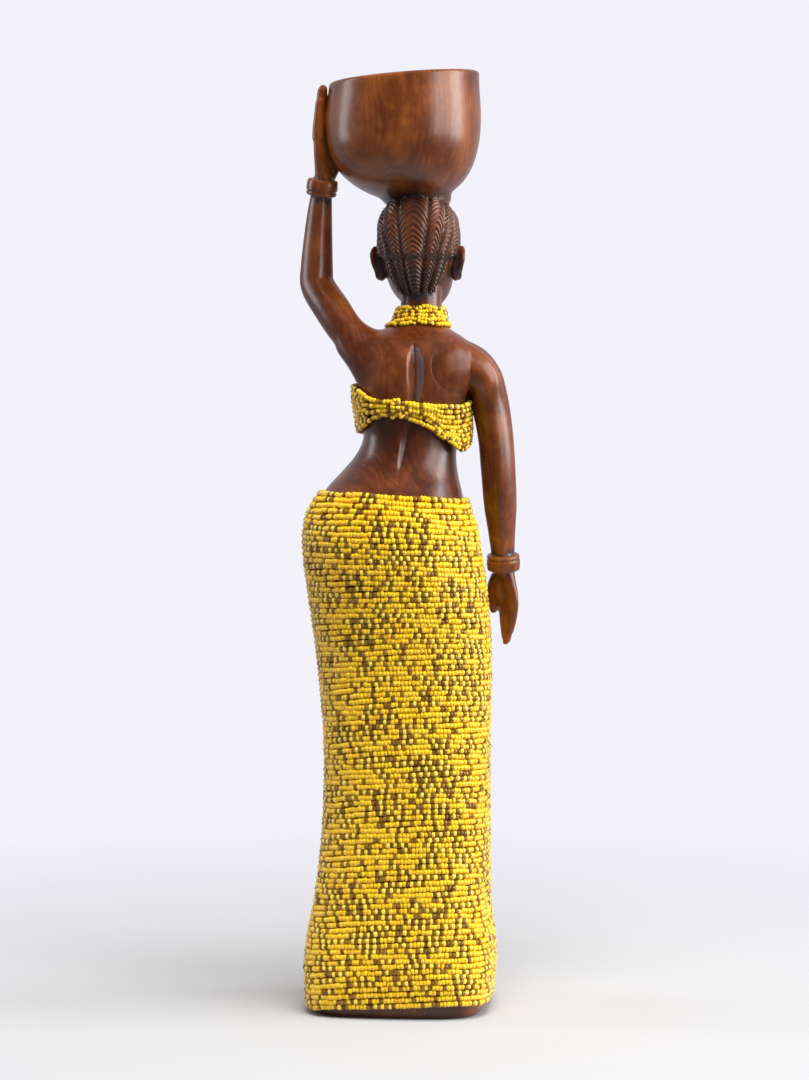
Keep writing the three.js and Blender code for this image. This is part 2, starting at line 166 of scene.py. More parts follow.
BOWL_RADIUS, BOWL_RIM_RADIUS, BOWL_HEIGHT, BOWL_ROUND = 32.9, 31.6, 52.8, 35
BOWL_WALL, BOWL_FLOOR, BOWL_SAG, BOWL_FOOT_RADIUS = 3.6, 8, 2.4, 13.6
BOWL_LIP = 1.4  # height of the rounding of its rim
BOWL_LEAN = math.radians(4.5)
BOWL_FOOT = (-5.7, -4, 340.2)

JOINT_ROUNDS, QUICK_JOINT_ROUNDS = 260, 60
FIGURE_TRIANGLES, QUICK_FIGURE_TRIANGLES = 100000, 50000
SLIVER_VERTICES = 1000  # a loose part with fewer is a sliver

# Colours of the stain and painted shade that darken hollows, and of the painted reflection on one wall of the
# spine's furrow
STAIN_AND_SHADE_IN_HOLLOWS = (0.026, 0.019, 0.019, 1)
GREY_PAINTED_REFLECTION = (0.19, 0.15, 0.165, 1)

# Beadwork
BEAD_SIDES = 7
BEAD_GAP, BUST_GAP = 0.1, 0.9
HIGHLIGHT_YELLOW = (0.97, 0.68, 0.06)
DARK_RUN_ENDS = 0.84  # chance that a run of dark beads ends at each
WRAP_BEAD_END, BAND_BEAD_END = 0.84, 0.7  # radius of a bead's ends against its belly
BAND_STRANDS, LEVEL_STRANDS, BAND_BEAD, KNOT_BEAD = 10, 5, 2.15, 2
CHOKER_ROWS, CHOKER_BEAD, CHOKER_PITCH = 5, 1.95, 1.4
CLOSURE_BEAD, CLOSURE_PITCH = 1.4, 1.2
SKIRT_HEM, WAISTBAND = 5.2, 217.6
CHOKER_BOTTOM, CHOKER_TOP, CHOKER_DIP = 288.9, 297.2, 1.8
# degrees from the left side towards the back, bottom, top
BANDEAU = [
    (0, 243.5, 264),
    (25, 245.5, 262.5),
    (50, 249.4, 258.8),
    (80, 251, 257.6),
    (92, 248.2, 257.2),
    (118, 243, 256.3),
    (138, 238.6, 256),
    (152, 235.9, 256.4),
    (168, 237.4, 257.3),
    (186, 240.4, 258.7),
    (225, 241, 262.5),
    (270, 241.5, 264.5),
    (315, 242.5, 265),
    (360, 243.5, 264),
]
BANDEAU_HANG = 250
KNOT, CLOSURE = 79, 80  # degrees from the left side towards the back

# The studio, in metres: each soft light's place, what it looks at, its size and its share of the power
SOFT_LIGHTS = [
    ("left_light", (1.3, -0.03, 0.72), (0, 0, 0.72), (0.38, 1.15), 0.48),
    ("right_light", (-1.297, -0.05, 0.72), (0, 0, 0.72), (0.52, 1.15), 1.15),
    ("front_light", (-1.158, 0.59, 0.72), (0, 0, 0.72), (0.55, 1.15), 0.74),
    ("top_light", (-0.3, 0.75, 1.9), (0, 0, 0.15), (1.3, 1.1), 3.8),
]
FLOOR_RADIUS, FLOOR_SHADE = 1.0, 0.465
CAMERA_AZIMUTH, CAMERA_PITCH = math.radians(186), math.radians(3.5)
CAMERA_DISTANCE, CAMERA_HEIGHT, CAMERA_LENS, CAMERA_SHIFT = 1.350, 0.281, 106.8, 0.0037


# Curves and the body's surface, worked out for whole arrays of points


def smooth_rows(rows):
    """A smooth run through rows whose first value is the parameter."""
    table = np.array(rows, float)
    keys, values = table[:, 0], table[:, 1:]
    last = len(keys) - 1

    def run(key):
        key = np.clip(np.atleast_1d(np.asarray(key, float)), keys[0], keys[-1])
        i = np.clip(np.searchsorted(keys, key, side="right"), 1, last)
        t0, t1 = keys[i - 1], keys[i]
        before = np.where(i > 1, i - 2, i)
        after = np.where(i < last, i + 1, i - 1)
        after = np.minimum(after, last)
        before_key = np.where(i > 1, keys[before], t1)
        after_key = np.where(i < last, keys[after], t0)
        w0 = (t1 - t0) / 2 / (t0 - before_key)
        w1 = (t1 - t0) / 2 / (after_key - t1)
        p = (key - t0) / (t1 - t0)
        shares = (
            -w0 * p**3 + 2 * w0 * p**2 - w0 * p,
            (1 + w0) * p**3 + (-1.5 - 2 * w0) * p**2 + (w0 - 0.5) * p + 1,
            (-1 - w1) * p**3 + (1.5 + w1) * p**2 + 0.5 * p,
            w1 * p**3 - w1 * p**2,
        )
        picked = (before, i - 1, i, after)
        return sum(s[:, None] * values[k] for s, k in zip(shares, picked))

    return run


def power(value, exponent):
    """A power that keeps the sign."""
    return np.sign(value) * np.abs(value) ** exponent


def bump(distance, reach):
    """A smooth hill of height 1 that falls away over the reach."""
    return np.exp(-((distance / reach) ** 2))


def smoothstep(value, low, high):
    t = np.clip((value - low) / (high - low), 0, 1)
    return t * t * (3 - 2 * t)


def turn_z(points, angle):
    """Points turned about the upright axis."""
    c, s = math.cos(angle), math.sin(angle)
    points = np.asarray(points, float)
    x, y, z = points[..., 0], points[..., 1], points[..., 2]
    return np.stack([x * c - y * s, x * s + y * c, z], axis=-1)


body_at = smooth_rows(BODY)


def body_points(height, angle, offset=0.0):
    """Points of the body's surface, moved outwards by an offset."""
    height, angle, offset = np.broadcast_arrays(height, angle, offset)
    x, y, half_width, before, behind, squareness = body_at(height).T
    across = power(np.cos(angle), 2 / squareness) * (half_width + offset)
    depth = np.where(np.sin(angle) > 0, behind, before)
    along = power(np.sin(angle), 2 / squareness) * (depth + offset)
    breast = bump(np.abs(across) - BUST_APART, BUST_REACH) * bump(height - BUST_HEIGHT, BUST_RISE)
    along = np.where(along < 0, along + BUST_DEPTH * breast * np.sin(angle), along)
    turn = smoothstep(height, TURN_STARTS, TURN_ENDS) * BODY_TURN
    c, s = np.cos(turn), np.sin(turn)
    middle = turn_z(np.column_stack([x, y, height]), BODY_TURN)
    return middle + np.column_stack([across * c - along * s, across * s + along * c, 0 * height])


def curve(points, steps):
    """A centripetal spline through points, at steps from 0 to 1."""
    points = np.asarray(points, float)
    padded = np.vstack([2 * points[0] - points[1], points, 2 * points[-1] - points[-2]])
    place = np.clip(steps, 0, 1) * (len(points) - 1)
    i = np.minimum(place.astype(int), len(points) - 2)
    w = (place - i)[:, None]
    p0, p1, p2, p3 = (padded[i + k] for k in range(4))
    d0, d1, d2 = (
        np.sqrt(np.linalg.norm(b - a, axis=1))[:, None] for a, b in ((p0, p1), (p1, p2), (p2, p3))
    )
    m1 = ((p1 - p0) / d0 - (p2 - p0) / (d0 + d1) + (p2 - p1) / d1) * d1
    m2 = ((p2 - p1) / d1 - (p3 - p1) / (d1 + d2) + (p3 - p2) / d2) * d1
    c2 = -3 * p1 + 3 * p2 - 2 * m1 - m2
    c3 = 2 * p1 - 2 * p2 + m1 + m2
    return p1 + w * (m1 + w * (c2 + w * c3))


def unit(vectors):
    return vectors / np.linalg.norm(vectors, axis=-1, keepdims=True)


def way_gone(path):
    """How far along a path each of its points lies."""
    return np.append(0, np.cumsum(np.linalg.norm(np.diff(path, axis=0), axis=1)))


# Mesh building


def coordinates(bm):
    return np.array([v.co for v in bm.verts])


def put(bm, points):
    """Moves every vertex to its own point."""
    for vert, point in zip(bm.verts, points.tolist()):
        vert.co = point
    return bm


def upright_cylinder(sides, radius, height, cuts):
    """A closed cylinder along Z, with rings cut round its side."""
    bm = bmesh.new()
    bmesh.ops.create_cone(bm, cap_ends=True, segments=sides, radius1=radius, radius2=radius, depth=height)
    uprights = [e for e in bm.edges if abs(e.verts[0].co.z - e.verts[1].co.z) > 0.5]
    bmesh.ops.subdivide_edges(bm, edges=uprights, cuts=cuts)
    return bm


def tube(levels, sides, place):
    """A closed upright tube with a ring at each level, put in place by a function of level and angle."""
    last = len(levels) - 1
    bm = upright_cylinder(sides, 1, last, last - 1)
    at = coordinates(bm)
    step = np.rint(at[:, 2] + last / 2).astype(int)
    angle = np.arctan2(at[:, 1], at[:, 0])
    on_seam = np.abs(np.sin(angle)) < 1e-6
    angle[on_seam] = np.where(np.cos(angle[on_seam]) > 0, 0, math.pi)
    return put(bm, place(np.asarray(levels, float)[step], angle))


def limb(rows, sides=28, rings=60, roundness=2):
    """A round-ended limb along a smooth curve through points with a radius each."""
    rows = np.array(rows, float)
    steps = (1 - np.cos(np.pi * np.linspace(0, 1, rings))) / 2
    centre = curve(rows[:, :3], steps)
    tangent = unit(curve(rows[:, :3], steps + 1e-4) - curve(rows[:, :3], steps - 1e-4))
    radius = smooth_rows(np.column_stack([np.linspace(0, 1, len(rows)), rows[:, 3]]))(steps)[:, 0]
    gone = way_gone(centre)
    for travelled, end in ((gone, radius[0]), (gone[-1] - gone, radius[-1])):
        radius = radius * np.sqrt(1 - (1 - np.clip(travelled / end, 0.002, 1)) ** 2)
    ahead = unit(np.cross([0, 1, 0], tangent))
    beside = np.cross(tangent, ahead)

    def place(level, angle):
        i = level.astype(int)
        ring = np.cos(angle)[:, None] * ahead[i] + np.sin(angle)[:, None] * beside[i]
        keel = np.abs(np.cos(angle)) ** roundness + np.abs(np.sin(angle)) ** roundness
        keel = keel ** (-1 / roundness)
        return centre[i] + ring * (radius[i] * keel)[:, None]

    return tube(range(rings), sides, place)


def ellipsoid(middle, sizes):
    bm = bmesh.new()
    bmesh.ops.create_uvsphere(bm, u_segments=24, v_segments=16, radius=1)
    bmesh.ops.scale(bm, vec=sizes, verts=bm.verts)
    bmesh.ops.translate(bm, vec=middle, verts=bm.verts)
    return bm


def lathe(profile, steps):
    """A profile of radius and height spun into a closed solid."""
    bm = bmesh.new()
    verts = [bm.verts.new((max(radius, 0), 0, height)) for radius, height in profile]
    edges = [bm.edges.new(pair) for pair in zip(verts, verts[1:])]
    bmesh.ops.spin(
        bm, geom=verts + edges, axis=(0, 0, 1), cent=(0, 0, 0), steps=steps, angle=math.tau, use_merge=True
    )
    bmesh.ops.remove_doubles(bm, verts=bm.verts, dist=1e-4)
    bmesh.ops.recalc_face_normals(bm, faces=bm.faces)
    return bm


def moved(bm, matrix):
    bmesh.ops.transform(bm, matrix=matrix, verts=bm.verts)
    if matrix.determinant() < 0:
        bmesh.ops.reverse_faces(bm, faces=bm.faces)
    return bm


def joined(parts):
    """One bmesh that holds all the parts."""
    whole = bmesh.new()
    for part in parts:
        mesh = bpy.data.meshes.new("part")
        part.to_mesh(mesh)
        part.free()
        whole.from_mesh(mesh)
        bpy.data.meshes.remove(mesh)
    return whole


def worked(bm, *steps):
    """The shape after a row of modifiers, each given as its kind and settings."""
    mesh = bpy.data.meshes.new("work")
    bm.to_mesh(mesh)
    bm.free()
    obj = bpy.data.objects.new("work", mesh)
    bpy.context.scene.collection.objects.link(obj)
    tools = []
    for kind, settings in steps:
        modifier = obj.modifiers.new(kind, kind)
        for key, value in settings.items():
            if isinstance(value, bmesh.types.BMesh):
                tool_mesh = bpy.data.meshes.new("tool")
                value.to_mesh(tool_mesh)
                value.free()
                value = bpy.data.objects.new("tool", tool_mesh)
                bpy.context.scene.collection.objects.link(value)
                tools.append(value)
            setattr(modifier, key, value)
    graph = bpy.context.evaluated_depsgraph_get()
    made = bpy.data.meshes.new_from_object(obj.evaluated_get(graph))
    for spent in [obj, *tools]:
        old = spent.data
        bpy.data.objects.remove(spent)
        bpy.data.meshes.remove(old)
    result = bmesh.new()
    result.from_mesh(made)
    bpy.data.meshes.remove(made)
    return result


def union(bm, tool):
    return worked(bm, ("BOOLEAN", {"operation": "UNION", "solver": "MANIFOLD", "object": tool}))


def without_slivers(bm):
    """The solid without the slivers that the unions part from it."""
    seen, slivers = set(), []
    for start in bm.verts:
        if start in seen:
            continue
        part, waiting = {start}, [start]
        while waiting:
            for edge in waiting.pop().link_edges:
                for vert in edge.verts:
                    if vert not in part:
                        part.add(vert)
                        waiting.append(vert)
        seen |= part
        if len(part) < SLIVER_VERTICES:
            slivers += part
    bmesh.ops.delete(bm, geom=slivers, context="VERTS")
    return bm


def finish_piece(bm, name, slot, material, *nodes):
    """Makes the piece's object, in metres, and hides the parts of the solids that it takes the place of."""
    bmesh.ops.scale(bm, vec=(MM, MM, MM), verts=bm.verts)
    mesh = bpy.data.meshes.new(name)
    bm.to_mesh(mesh)
    bm.free()
    return finish_mesh(mesh, name, slot, material, *nodes)


def finish_mesh(mesh, name, slot, material, *nodes):
    mesh.shade_smooth()
    mesh.materials.append(material)
    obj = bpy.data.objects.new(name, mesh)
    bpy.context.scene.collection.objects.link(obj)
    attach(obj, "root")
    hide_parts(*nodes)
    return obj


# The carved figure

TO_BODY = Matrix.Rotation(BODY_TURN, 4, "Z")
TO_HEAD = TO_BODY @ Matrix.Translation(HEAD) @ Matrix.Rotation(HEAD_TURN, 4, "Z")


def trunk():
    levels = np.linspace(WAIST_CUT, BODY[-1][0], 150)
    return tube(levels, 180, body_points)


def covered_trunk():
    """The base and what the wrap covers, a little slimmer where it ends inside the trunk above it."""
    levels = [0, 0.3, 0.8, 1.5, 2.5, 4, 6, 9, 12, 16, 20, 28, 36, 44, 60, 75, 95, 115, 132, 150, 163, 176]
    levels += [185, 194, WAIST_CUT - 1.5, WAIST_CUT - 0.5, WAIST_CUT + 4]

    def place(level, angle):
        rounding = 0.9 * (1 - np.clip(level / 1.5, 0, 1)) ** 2
        slimmer = 0.6 * (level > WAIST_CUT - 1)
        return body_points(level, angle, -rounding - slimmer)

    return tube(levels, 112, place)


def hand(wrist, fingers, thumb, curl, length, fullness):
    """A hand in a frame of its own: X out of the palm, Y towards the thumb, Z along the fingers."""
    palm_at = smooth_rows(PALM)

    def bend(along):
        return curl * np.maximum(0, np.asarray(along) / HAND_LENGTH) ** 2

    def place(level, angle):
        half_width, half_thickness = palm_at(level).T
        hollow = 0.5 * bump(level - 11, 8) * bump(np.sin(angle), 0.5) * (np.cos(angle) < 0)
        return np.column_stack(
            [bend(level) + np.cos(angle) * (half_thickness - hollow), np.sin(angle) * half_width, level]
        )

    shapes = [tube(np.linspace(-3, 22, 40), 40, place)]
    for across, share in FINGERS:
        tip = HAND_LENGTH * share
        rows = [
            (bend(13), across, 13, 2.1 * fullness),
            (bend(tip * 0.6), across * 0.84, tip * 0.6, 2.05 * fullness),
            (bend(tip * 0.8), across * 0.66, tip * 0.8, 1.75 * fullness),
            (bend(tip) - 0.1, across * 0.42, tip, 1.2 * fullness**2.5),
        ]
        shapes.append(limb(rows, 18, 40))
    shapes.append(limb(THUMB, 20, 48))
    # the web between the thumb and the palm
    shapes.append(ellipsoid((2.7, 3.6, 8), (3.1, 4.8, 10.5)))
    along = Vector(fingers).normalized()
    outward = Vector(thumb).cross(along).normalized()
    side = along.cross(outward)
    axes = Matrix((outward, side, along)).transposed().to_4x4()
    frame_of_hand = Matrix.Translation(wrist) @ axes @ Matrix.Diagonal((1, 1, length, 1))
    return moved(joined(shapes), TO_BODY @ frame_of_hand)


def bracelet(rows, start, end):
    """A rounded band with a fine groove near its hand edge, carved round the limb."""
    start, end = Vector(start), Vector(end)
    axis = (end - start).normalized()
    inner = rows[-2][3] - 1
    outer = rows[-2][3] + BRACELET_THICKNESS
    half = BRACELET_WIDTH / 2
    profile = [(inner, -half)]
    for height in np.linspace(-half, half, 25):
        edge = max(0, abs(height) - (half - 0.8)) / 0.8
        crown = 0.35 * (1 - (height / half) ** 2)
        groove = 0.55 * bump(height + half - 1.9, 0.3)
        profile.append((outer - 0.35 + crown - 0.8 * (1 - math.sqrt(max(0, 1 - edge**2))) - groove, height))
    profile += [(inner, half), (inner, -half)]
    turn = Vector((0, 0, 1)).rotation_difference(axis).to_matrix().to_4x4()
    return moved(lathe(profile, 64), TO_BODY @ Matrix.Translation((start + end) / 2) @ turn)


def bowl():
    """The calabash: a hollow round bowl that bellies out and leans towards the raised hand."""

    def round_out(height, radius, top):
        return radius * np.sqrt(1 - (1 - np.minimum(1, height / top)) ** 2.4)

    def rim_curve(height):
        return (BOWL_RADIUS - BOWL_RIM_RADIUS) * smoothstep(height, BOWL_ROUND, BOWL_HEIGHT)

    outer = np.concatenate([np.linspace(0, 12, 16) ** 2 / 12, np.linspace(13.5, BOWL_HEIGHT - BOWL_LIP, 26)])
    foot = np.where(outer < 10, BOWL_FOOT_RADIUS + outer / 2, 0)
    body = round_out(outer, BOWL_RADIUS, BOWL_ROUND)
    widest = np.logaddexp(foot * 2, body * 2) / 2
    outside = np.column_stack([widest - rim_curve(outer), outer])
    middle = BOWL_RIM_RADIUS - BOWL_WALL / 2
    lip = [
        (middle + BOWL_WALL / 2 * math.cos(a), BOWL_HEIGHT - BOWL_LIP + BOWL_LIP * math.sin(a))
        for a in np.linspace(0.12, math.pi - 0.12, 11)
    ]
    inner = BOWL_FLOOR + (BOWL_HEIGHT - BOWL_LIP - BOWL_FLOOR) * np.linspace(1, 0, 34) ** 1.6
    hollow = round_out(inner - BOWL_FLOOR, BOWL_RADIUS - BOWL_WALL, BOWL_ROUND - BOWL_FLOOR)
    inside = np.column_stack([hollow - rim_curve(inner), inner])
    shape = lathe([(0, -2), (BOWL_FOOT_RADIUS - 1, -2), *outside.tolist(), *lip, *inside.tolist()], 144)
    at = coordinates(shape)
    at[:, 0] += BOWL_SAG * np.sin(np.pi * np.clip(at[:, 2] / BOWL_HEIGHT, 0, 1.05) ** 0.9)
    at[:, 0] -= 2 * np.clip(1 - at[:, 2] / 24, 0, 1) ** 2
    put(shape, at)
    return moved(shape, TO_BODY @ Matrix.Translation(BOWL_FOOT) @ Matrix.Rotation(BOWL_LEAN, 4, "Y"))


def braid_segments():
    """Angles round the braids' line for the columns of the hair's mesh, finest over the braids."""
    edges = np.radians([-BRAID_EDGES[0], *BRAID_EDGES])
    columns = [np.linspace(edges[0], edges[1], 17)[8:]]
    columns += [np.linspace(a, b, 13)[1:] for a, b in zip(edges[1:], edges[2:])]
    half = np.concatenate(columns)
    front = np.linspace(half[-1], math.pi, 10)[1:]
    return np.concatenate([half, front, -front[-2::-1], -half[:0:-1]])


def hair():
    """Cornrows that run from the nape over the head to the forehead, each plaited in a herringbone."""
    columns = braid_segments()
    bm = bmesh.new()
    bmesh.ops.create_uvsphere(bm, u_segments=len(columns), v_segments=BRAID_RINGS, radius=1)
    at = coordinates(bm)
    azimuth = np.arctan2(at[:, 1], at[:, 0])
    turn = columns[np.rint(azimuth / math.tau * len(columns)).astype(int) % len(columns)]
    ring = np.rint(np.arccos(np.clip(at[:, 2], -1, 1)) / math.pi * BRAID_RINGS)

    edges = np.radians([0, *BRAID_EDGES, 180])
    away = np.abs(turn)
    which = np.clip(np.searchsorted(edges, away, side="right") - 1, 0, len(edges) - 2)
    low = np.where(which == 0, -edges[1], edges[which])
    across = np.clip(np.abs((away - low) / (edges[which + 1] - low) * 2 - 1), 0, 1)

    # each column is an arc between the two ends of the line
    middle = BRAID_LINE_AWAY * np.cos(turn)
    radius = np.sqrt(1 - (BRAID_LINE_AWAY * np.sin(turn)) ** 2)
    reach = np.arccos(np.clip(-middle / radius, -1, 1))
    swing = (1 - 2 * ring / BRAID_RINGS) * reach
    out = middle + radius * np.cos(swing)
    fade = smoothstep(out, 0.1, 0.35) * (away < edges[-2])
    # the rings run in points, as the strands of a herringbone do
    swing -= fade * STRAND_SLANT * across**1.4 * out / radius
    out, along = middle + radius * np.cos(swing), radius * np.sin(swing)
    back = out * np.cos(turn) - BRAID_LINE_AWAY
    c, s = math.cos(BRAID_LINE_TILT), math.sin(BRAID_LINE_TILT)
    at = np.column_stack([out * np.sin(turn), back * c - along * s, back * s + along * c])

    strand = np.abs(np.sin(math.pi * ring / np.array(RINGS_TO_A_STRAND)[which]))
    relief = (-BRAID_RELIEF * across**5 + STRAND_RELIEF * (strand - 0.7) * (1 - across**5)) * fade

    fullness = 2 + 1.1 * smoothstep(at[:, 2], -0.1, 0.5)
    norm = sum(np.abs(at[:, i]) ** fullness for i in range(3))
    at = at * (norm ** (-1 / fullness))[:, None]
    outward = unit(at / np.array([HAIR_HALF_WIDTH, HAIR_DEPTH, HAIR_RISE]))
    at = at * np.array([HAIR_HALF_WIDTH, HAIR_DEPTH, 1])
    at[:, 2] *= np.where(at[:, 2] > 0, HAIR_RISE, HAIR_FALL)
    # below a low ridge it turns in towards the nape, and behind the ears it gives way to the skin
    ridge = 0.6 * bump(at[:, 2] + 0.3, 2.4) - 2.1 * smoothstep(-at[:, 2], 0.8, 4.4)
    at[:, 1] += ridge * smoothstep(at[:, 1], 0, 6)
    bare = smoothstep(-at[:, 2], 2, 4.5) * smoothstep(np.abs(at[:, 0]), 8.2, 9.6)
    bare = bare * smoothstep(9.5 - at[:, 1], 0, 2)
    relief = relief * (1 - bare) - 5 * bare
    # it stands up round the bowl's foot behind
    at[:, 2] += 2.4 * bump(at[:, 0], 12) * smoothstep(at[:, 1], 0, 9) * smoothstep(at[:, 2], 6, 18)
    at[:, 1] += HAIR_MIDDLE
    put(bm, at + outward * relief[:, None])
    # The hairline is a slanted cut from above the forehead to the nape
    away_from_face = Matrix.Rotation(HAIRLINE_SLOPE, 3, "X") @ Vector((0, -1, 0))
    geometry = bm.verts[:] + bm.edges[:] + bm.faces[:]
    cut = bmesh.ops.bisect_plane(
        bm, geom=geometry, dist=1e-5, plane_co=(0, -8, 2), plane_no=away_from_face, clear_outer=True
    )
    bmesh.ops.holes_fill(bm, edges=[e for e in cut["geom_cut"] if isinstance(e, bmesh.types.BMEdge)], sides=0)
    bmesh.ops.recalc_face_normals(bm, faces=bm.faces)
    return moved(bm, TO_HEAD)


def face_relief(x, z):
    """How far the face lies behind its plain rounded front."""
    sockets = 1.5 * (bump(x - 6.2, 4) + bump(x + 6.2, 4)) * bump(z + 2.8, 2.8)
    beside_mouth = 0.7 * (bump(x - 7.5, 3) + bump(x + 7.5, 3)) * bump(z + 15, 3.5)
    under_lip = 0.7 * bump(x, 4) * bump(z + 19.9, 1.5)
    cheeks = 1.1 * (bump(x - 8, 5) + bump(x + 8, 5)) * bump(z + 8.6, 5)
    return sockets + beside_mouth + under_lip - cheeks


def head():
    face_at = smooth_rows(FACE)

    def place(level, angle):
        y, half_width, before, behind = face_at(level).T
        depth = np.where(np.sin(angle) > 0, behind, before)
        x = np.cos(angle) * half_width
        at_front = np.clip(-np.sin(angle), 0, 1) ** 0.7
        return np.column_stack([x, y + np.sin(angle) * depth + at_front * face_relief(x, level), level])

    nose = [(0, -18.6, 0.6, 1.6), (0, -20.6, -3.4, 1.5), (0, -22.6, -7.6, 1.8), (0, -22.9, -10.2, 2.1)]
    upper_lip = [(-5.2, -18.6, -15.6, 0.6), (-2, -20.2, -14.9, 1.3), (0, -20.6, -15.3, 1.2)]
    upper_lip += [(2, -20.2, -14.9, 1.3), (5.2, -18.6, -15.6, 0.6)]
    lower_lip = [(-4.6, -18.6, -16.6, 0.6), (0, -19.8, -17.9, 1.5), (4.6, -18.6, -16.6, 0.6)]
    brow = [(2.4, -19.2, 0.2, 0.9), (6, -18.8, 1.5, 1.2), (10.4, -15.4, 0.6, 1)]
    ear_rim = [(14.8, -3.4, -3, 0.9), (16.9, -1.6, 0.4, 1), (18.4, 1.6, 1.2, 1.1), (19.2, 4.3, -1, 1.1)]
    ear_rim += [(18.8, 4.6, -4.8, 1.05), (17.7, 3.2, -8.2, 1), (16.7, 0.7, -10.8, 1.5), (15.4, -1.4, -9.8, 1)]
    parts = [tube(np.linspace(-24.5, 20, 110), 128, place), limb(nose), limb(upper_lip), limb(lower_lip)]
    parts.append(ellipsoid((0, -17.2, -22), (4.4, 3.6, 3)))  # chin
    for side in (1, -1):
        paired = [
            ellipsoid((2.3, -20.9, -10.6), (1.8, 2.3, 1.7)),  # side of the nose
            ellipsoid((6.2, -17.1, -3.2), (3.3, 2.7, 2.1)),  # closed eye
            limb(brow),
            ellipsoid((16.6, 2.2, -4.4), (2.7, 2.4, 6.2)),  # ear
            ellipsoid((15.6, 1.2, -6.8), (2.4, 3.4, 5.8)),
            ellipsoid((15.6, -2.6, -5.4), (1.2, 1.3, 1.8)),
            limb(ear_rim),
        ]
        parts += [moved(part, Matrix.Diagonal((side, 1, 1, 1))) for part in paired]
    return moved(joined(parts), TO_HEAD)


def in_frame(points, matrix):
    """Points as seen in the frame that a matrix leads out of."""
    inverse = np.array(matrix.inverted())
    return points @ inverse[:3, :3].T + inverse[:3, 3]


# the furrow of the spine: height, x of its deepest line, depth, width to the left and to the right
FURROW = smooth_rows(
    [
        (222, 0.9, 0, 1, 1.4),
        (227, 0.4, 0.5, 1.4, 2),
        (232.6, -0.5, 1.5, 1.8, 2.6),
        (240, -2.2, 1.9, 2.4, 3),
        (246, -3.9, 2, 2.6, 3),
        (252, -5.1, 1.8, 2.6, 2.8),
        (258, -5.8, 2.4, 3, 2.7),
        (265, -6, 3.4, 3.4, 4),
        (271, -5.9, 3.7, 3.5, 4.5),
        (276, -5.8, 2.8, 3, 3.8),
        (279.5, -5.7, 1.3, 1.8, 2.4),
        (281.5, -5.6, 0, 0.8, 1),
    ]
)


def beside_furrow(y, z):
    """Which points lie on the back between the furrow's ends."""
    return (y > 6) & (z > 222) & (z < 281.5)


# where limbs run into the body, how far round it the joint is rounded, and how much of a rise is kept
JOINTS = (
    (-28.5, 8, 273, 11, 0.6),
    (-28, -4, 275, 9, 0.7),
    (14, 12, 279, 13, 0.5),
    (22, 2, 270, 10, 0.8),
    (18, -6, 279, 10, 0.8),
)
BLADE = (-25, 272, 12, 11.6)  # middle and half sizes of the right shoulder blade, across and up


def near_pairs(bm, chosen):
    """The edges between chosen vertices as pairs of places in their list, and how many each has."""
    number = np.full(len(bm.verts), -1)
    number[chosen] = np.arange(len(chosen))
    pairs = number[np.array([(e.verts[0].index, e.verts[1].index) for e in bm.edges])]
    pairs = pairs[(pairs >= 0).all(1)]
    return pairs, np.maximum(np.bincount(pairs.ravel(), minlength=len(chosen)), 1)


def round_joints(bm, spots, rounds):
    """Fills the hollows near some spots more than it lowers the rises, as a carver rounds a joint."""
    at = coordinates(bm)
    local = in_frame(at, TO_BODY)
    away = [np.linalg.norm(local - np.array(spot[:3]), axis=1) for spot in spots]
    reached = np.array([bump(distance, spot[3]) for distance, spot in zip(away, spots)])
    kept = np.array([spot[4] for spot in spots])[reached.argmax(axis=0)]
    weight = np.clip(reached.max(axis=0) * 1.6, 0, 1)
    chosen = np.flatnonzero(weight > 0.03)
    pairs, count = near_pairs(bm, chosen)
    a, b = pairs.T
    weight, lowering = weight[chosen], 1 - kept[chosen]
    normal = np.array([v.normal for v in bm.verts])[chosen]
    part = at[chosen]
    for _ in range(rounds):
        total = np.column_stack(
            [np.bincount(a, part[b, i], len(part)) + np.bincount(b, part[a, i], len(part)) for i in range(3)]
        )
        rise = ((total / count[:, None] - part) * normal).sum(1)
        part = part + (weight * np.where(rise > 0, rise, rise * lowering))[:, None] * normal
    at[chosen] = part
    return put(bm, at)


def carve(bm):
    """Cuts the spine, the shoulder blade and the lids, and presses the navel into the fused form."""
    at = coordinates(bm)
    x, y, z = in_frame(at, TO_BODY).T
    line, depth, left, right = FURROW(z).T
    beside = x - line
    width = np.where(beside > 0, left, right)
    sunk = np.where(beside_furrow(y, z), depth * np.clip(1 - np.abs(beside) / width, 0, 1), 0)
    middle_x, middle_z, half_x, half_z = BLADE
    round_blade = np.hypot((x - middle_x) / half_x, (z - middle_z) / half_z)
    inner = np.clip((x - middle_x) / half_x - 0.4 * (z - middle_z) / half_z, 0, 1) ** 0.5
    on_back = smoothstep(y, 5, 9)
    raised = 0.2 * smoothstep(1.05 - round_blade, 0, 0.5) * on_back
    raised += 2.2 * smoothstep(-x, 14, 27) * bump(z - 269, 10) * on_back
    blade_cut = 0.16 * bump(round_blade - 1, 0.035) + 0.1 * bump(round_blade - 0.72, 0.03)
    blade_cut = blade_cut * inner * on_back
    navel = np.where(y < -10, 1.2 * bump(np.hypot(x + 2.6, (z - 230) * 0.8), 1.5), 0)
    belly = np.where(y < -5, 0.8 * bump(np.hypot(x + 1, z - 224), 11), 0)
    normals = np.array([v.normal for v in bm.verts])
    moved_by = raised + belly - sunk - blade_cut - navel
    # lids
    fx, fy, fz = in_frame(at, TO_HEAD).T
    lid = (fz + 4.1) + 0.9 * (1 - ((np.abs(fx) - 6.2) / 3.2) ** 2)
    on_eye = (fy < -14) & (np.abs(np.abs(fx) - 6.2) < 3.4)
    moved_by -= np.where(on_eye, 0.55 * bump(lid, 0.33), 0)
    nostril = np.hypot(np.abs(fx) - 1.5, (fz + 12.3) * 1.2)
    moved_by -= np.where(fy < -20.5, 0.7 * bump(nostril, 0.7), 0)
    return put(bm, at + normals * moved_by[:, None])


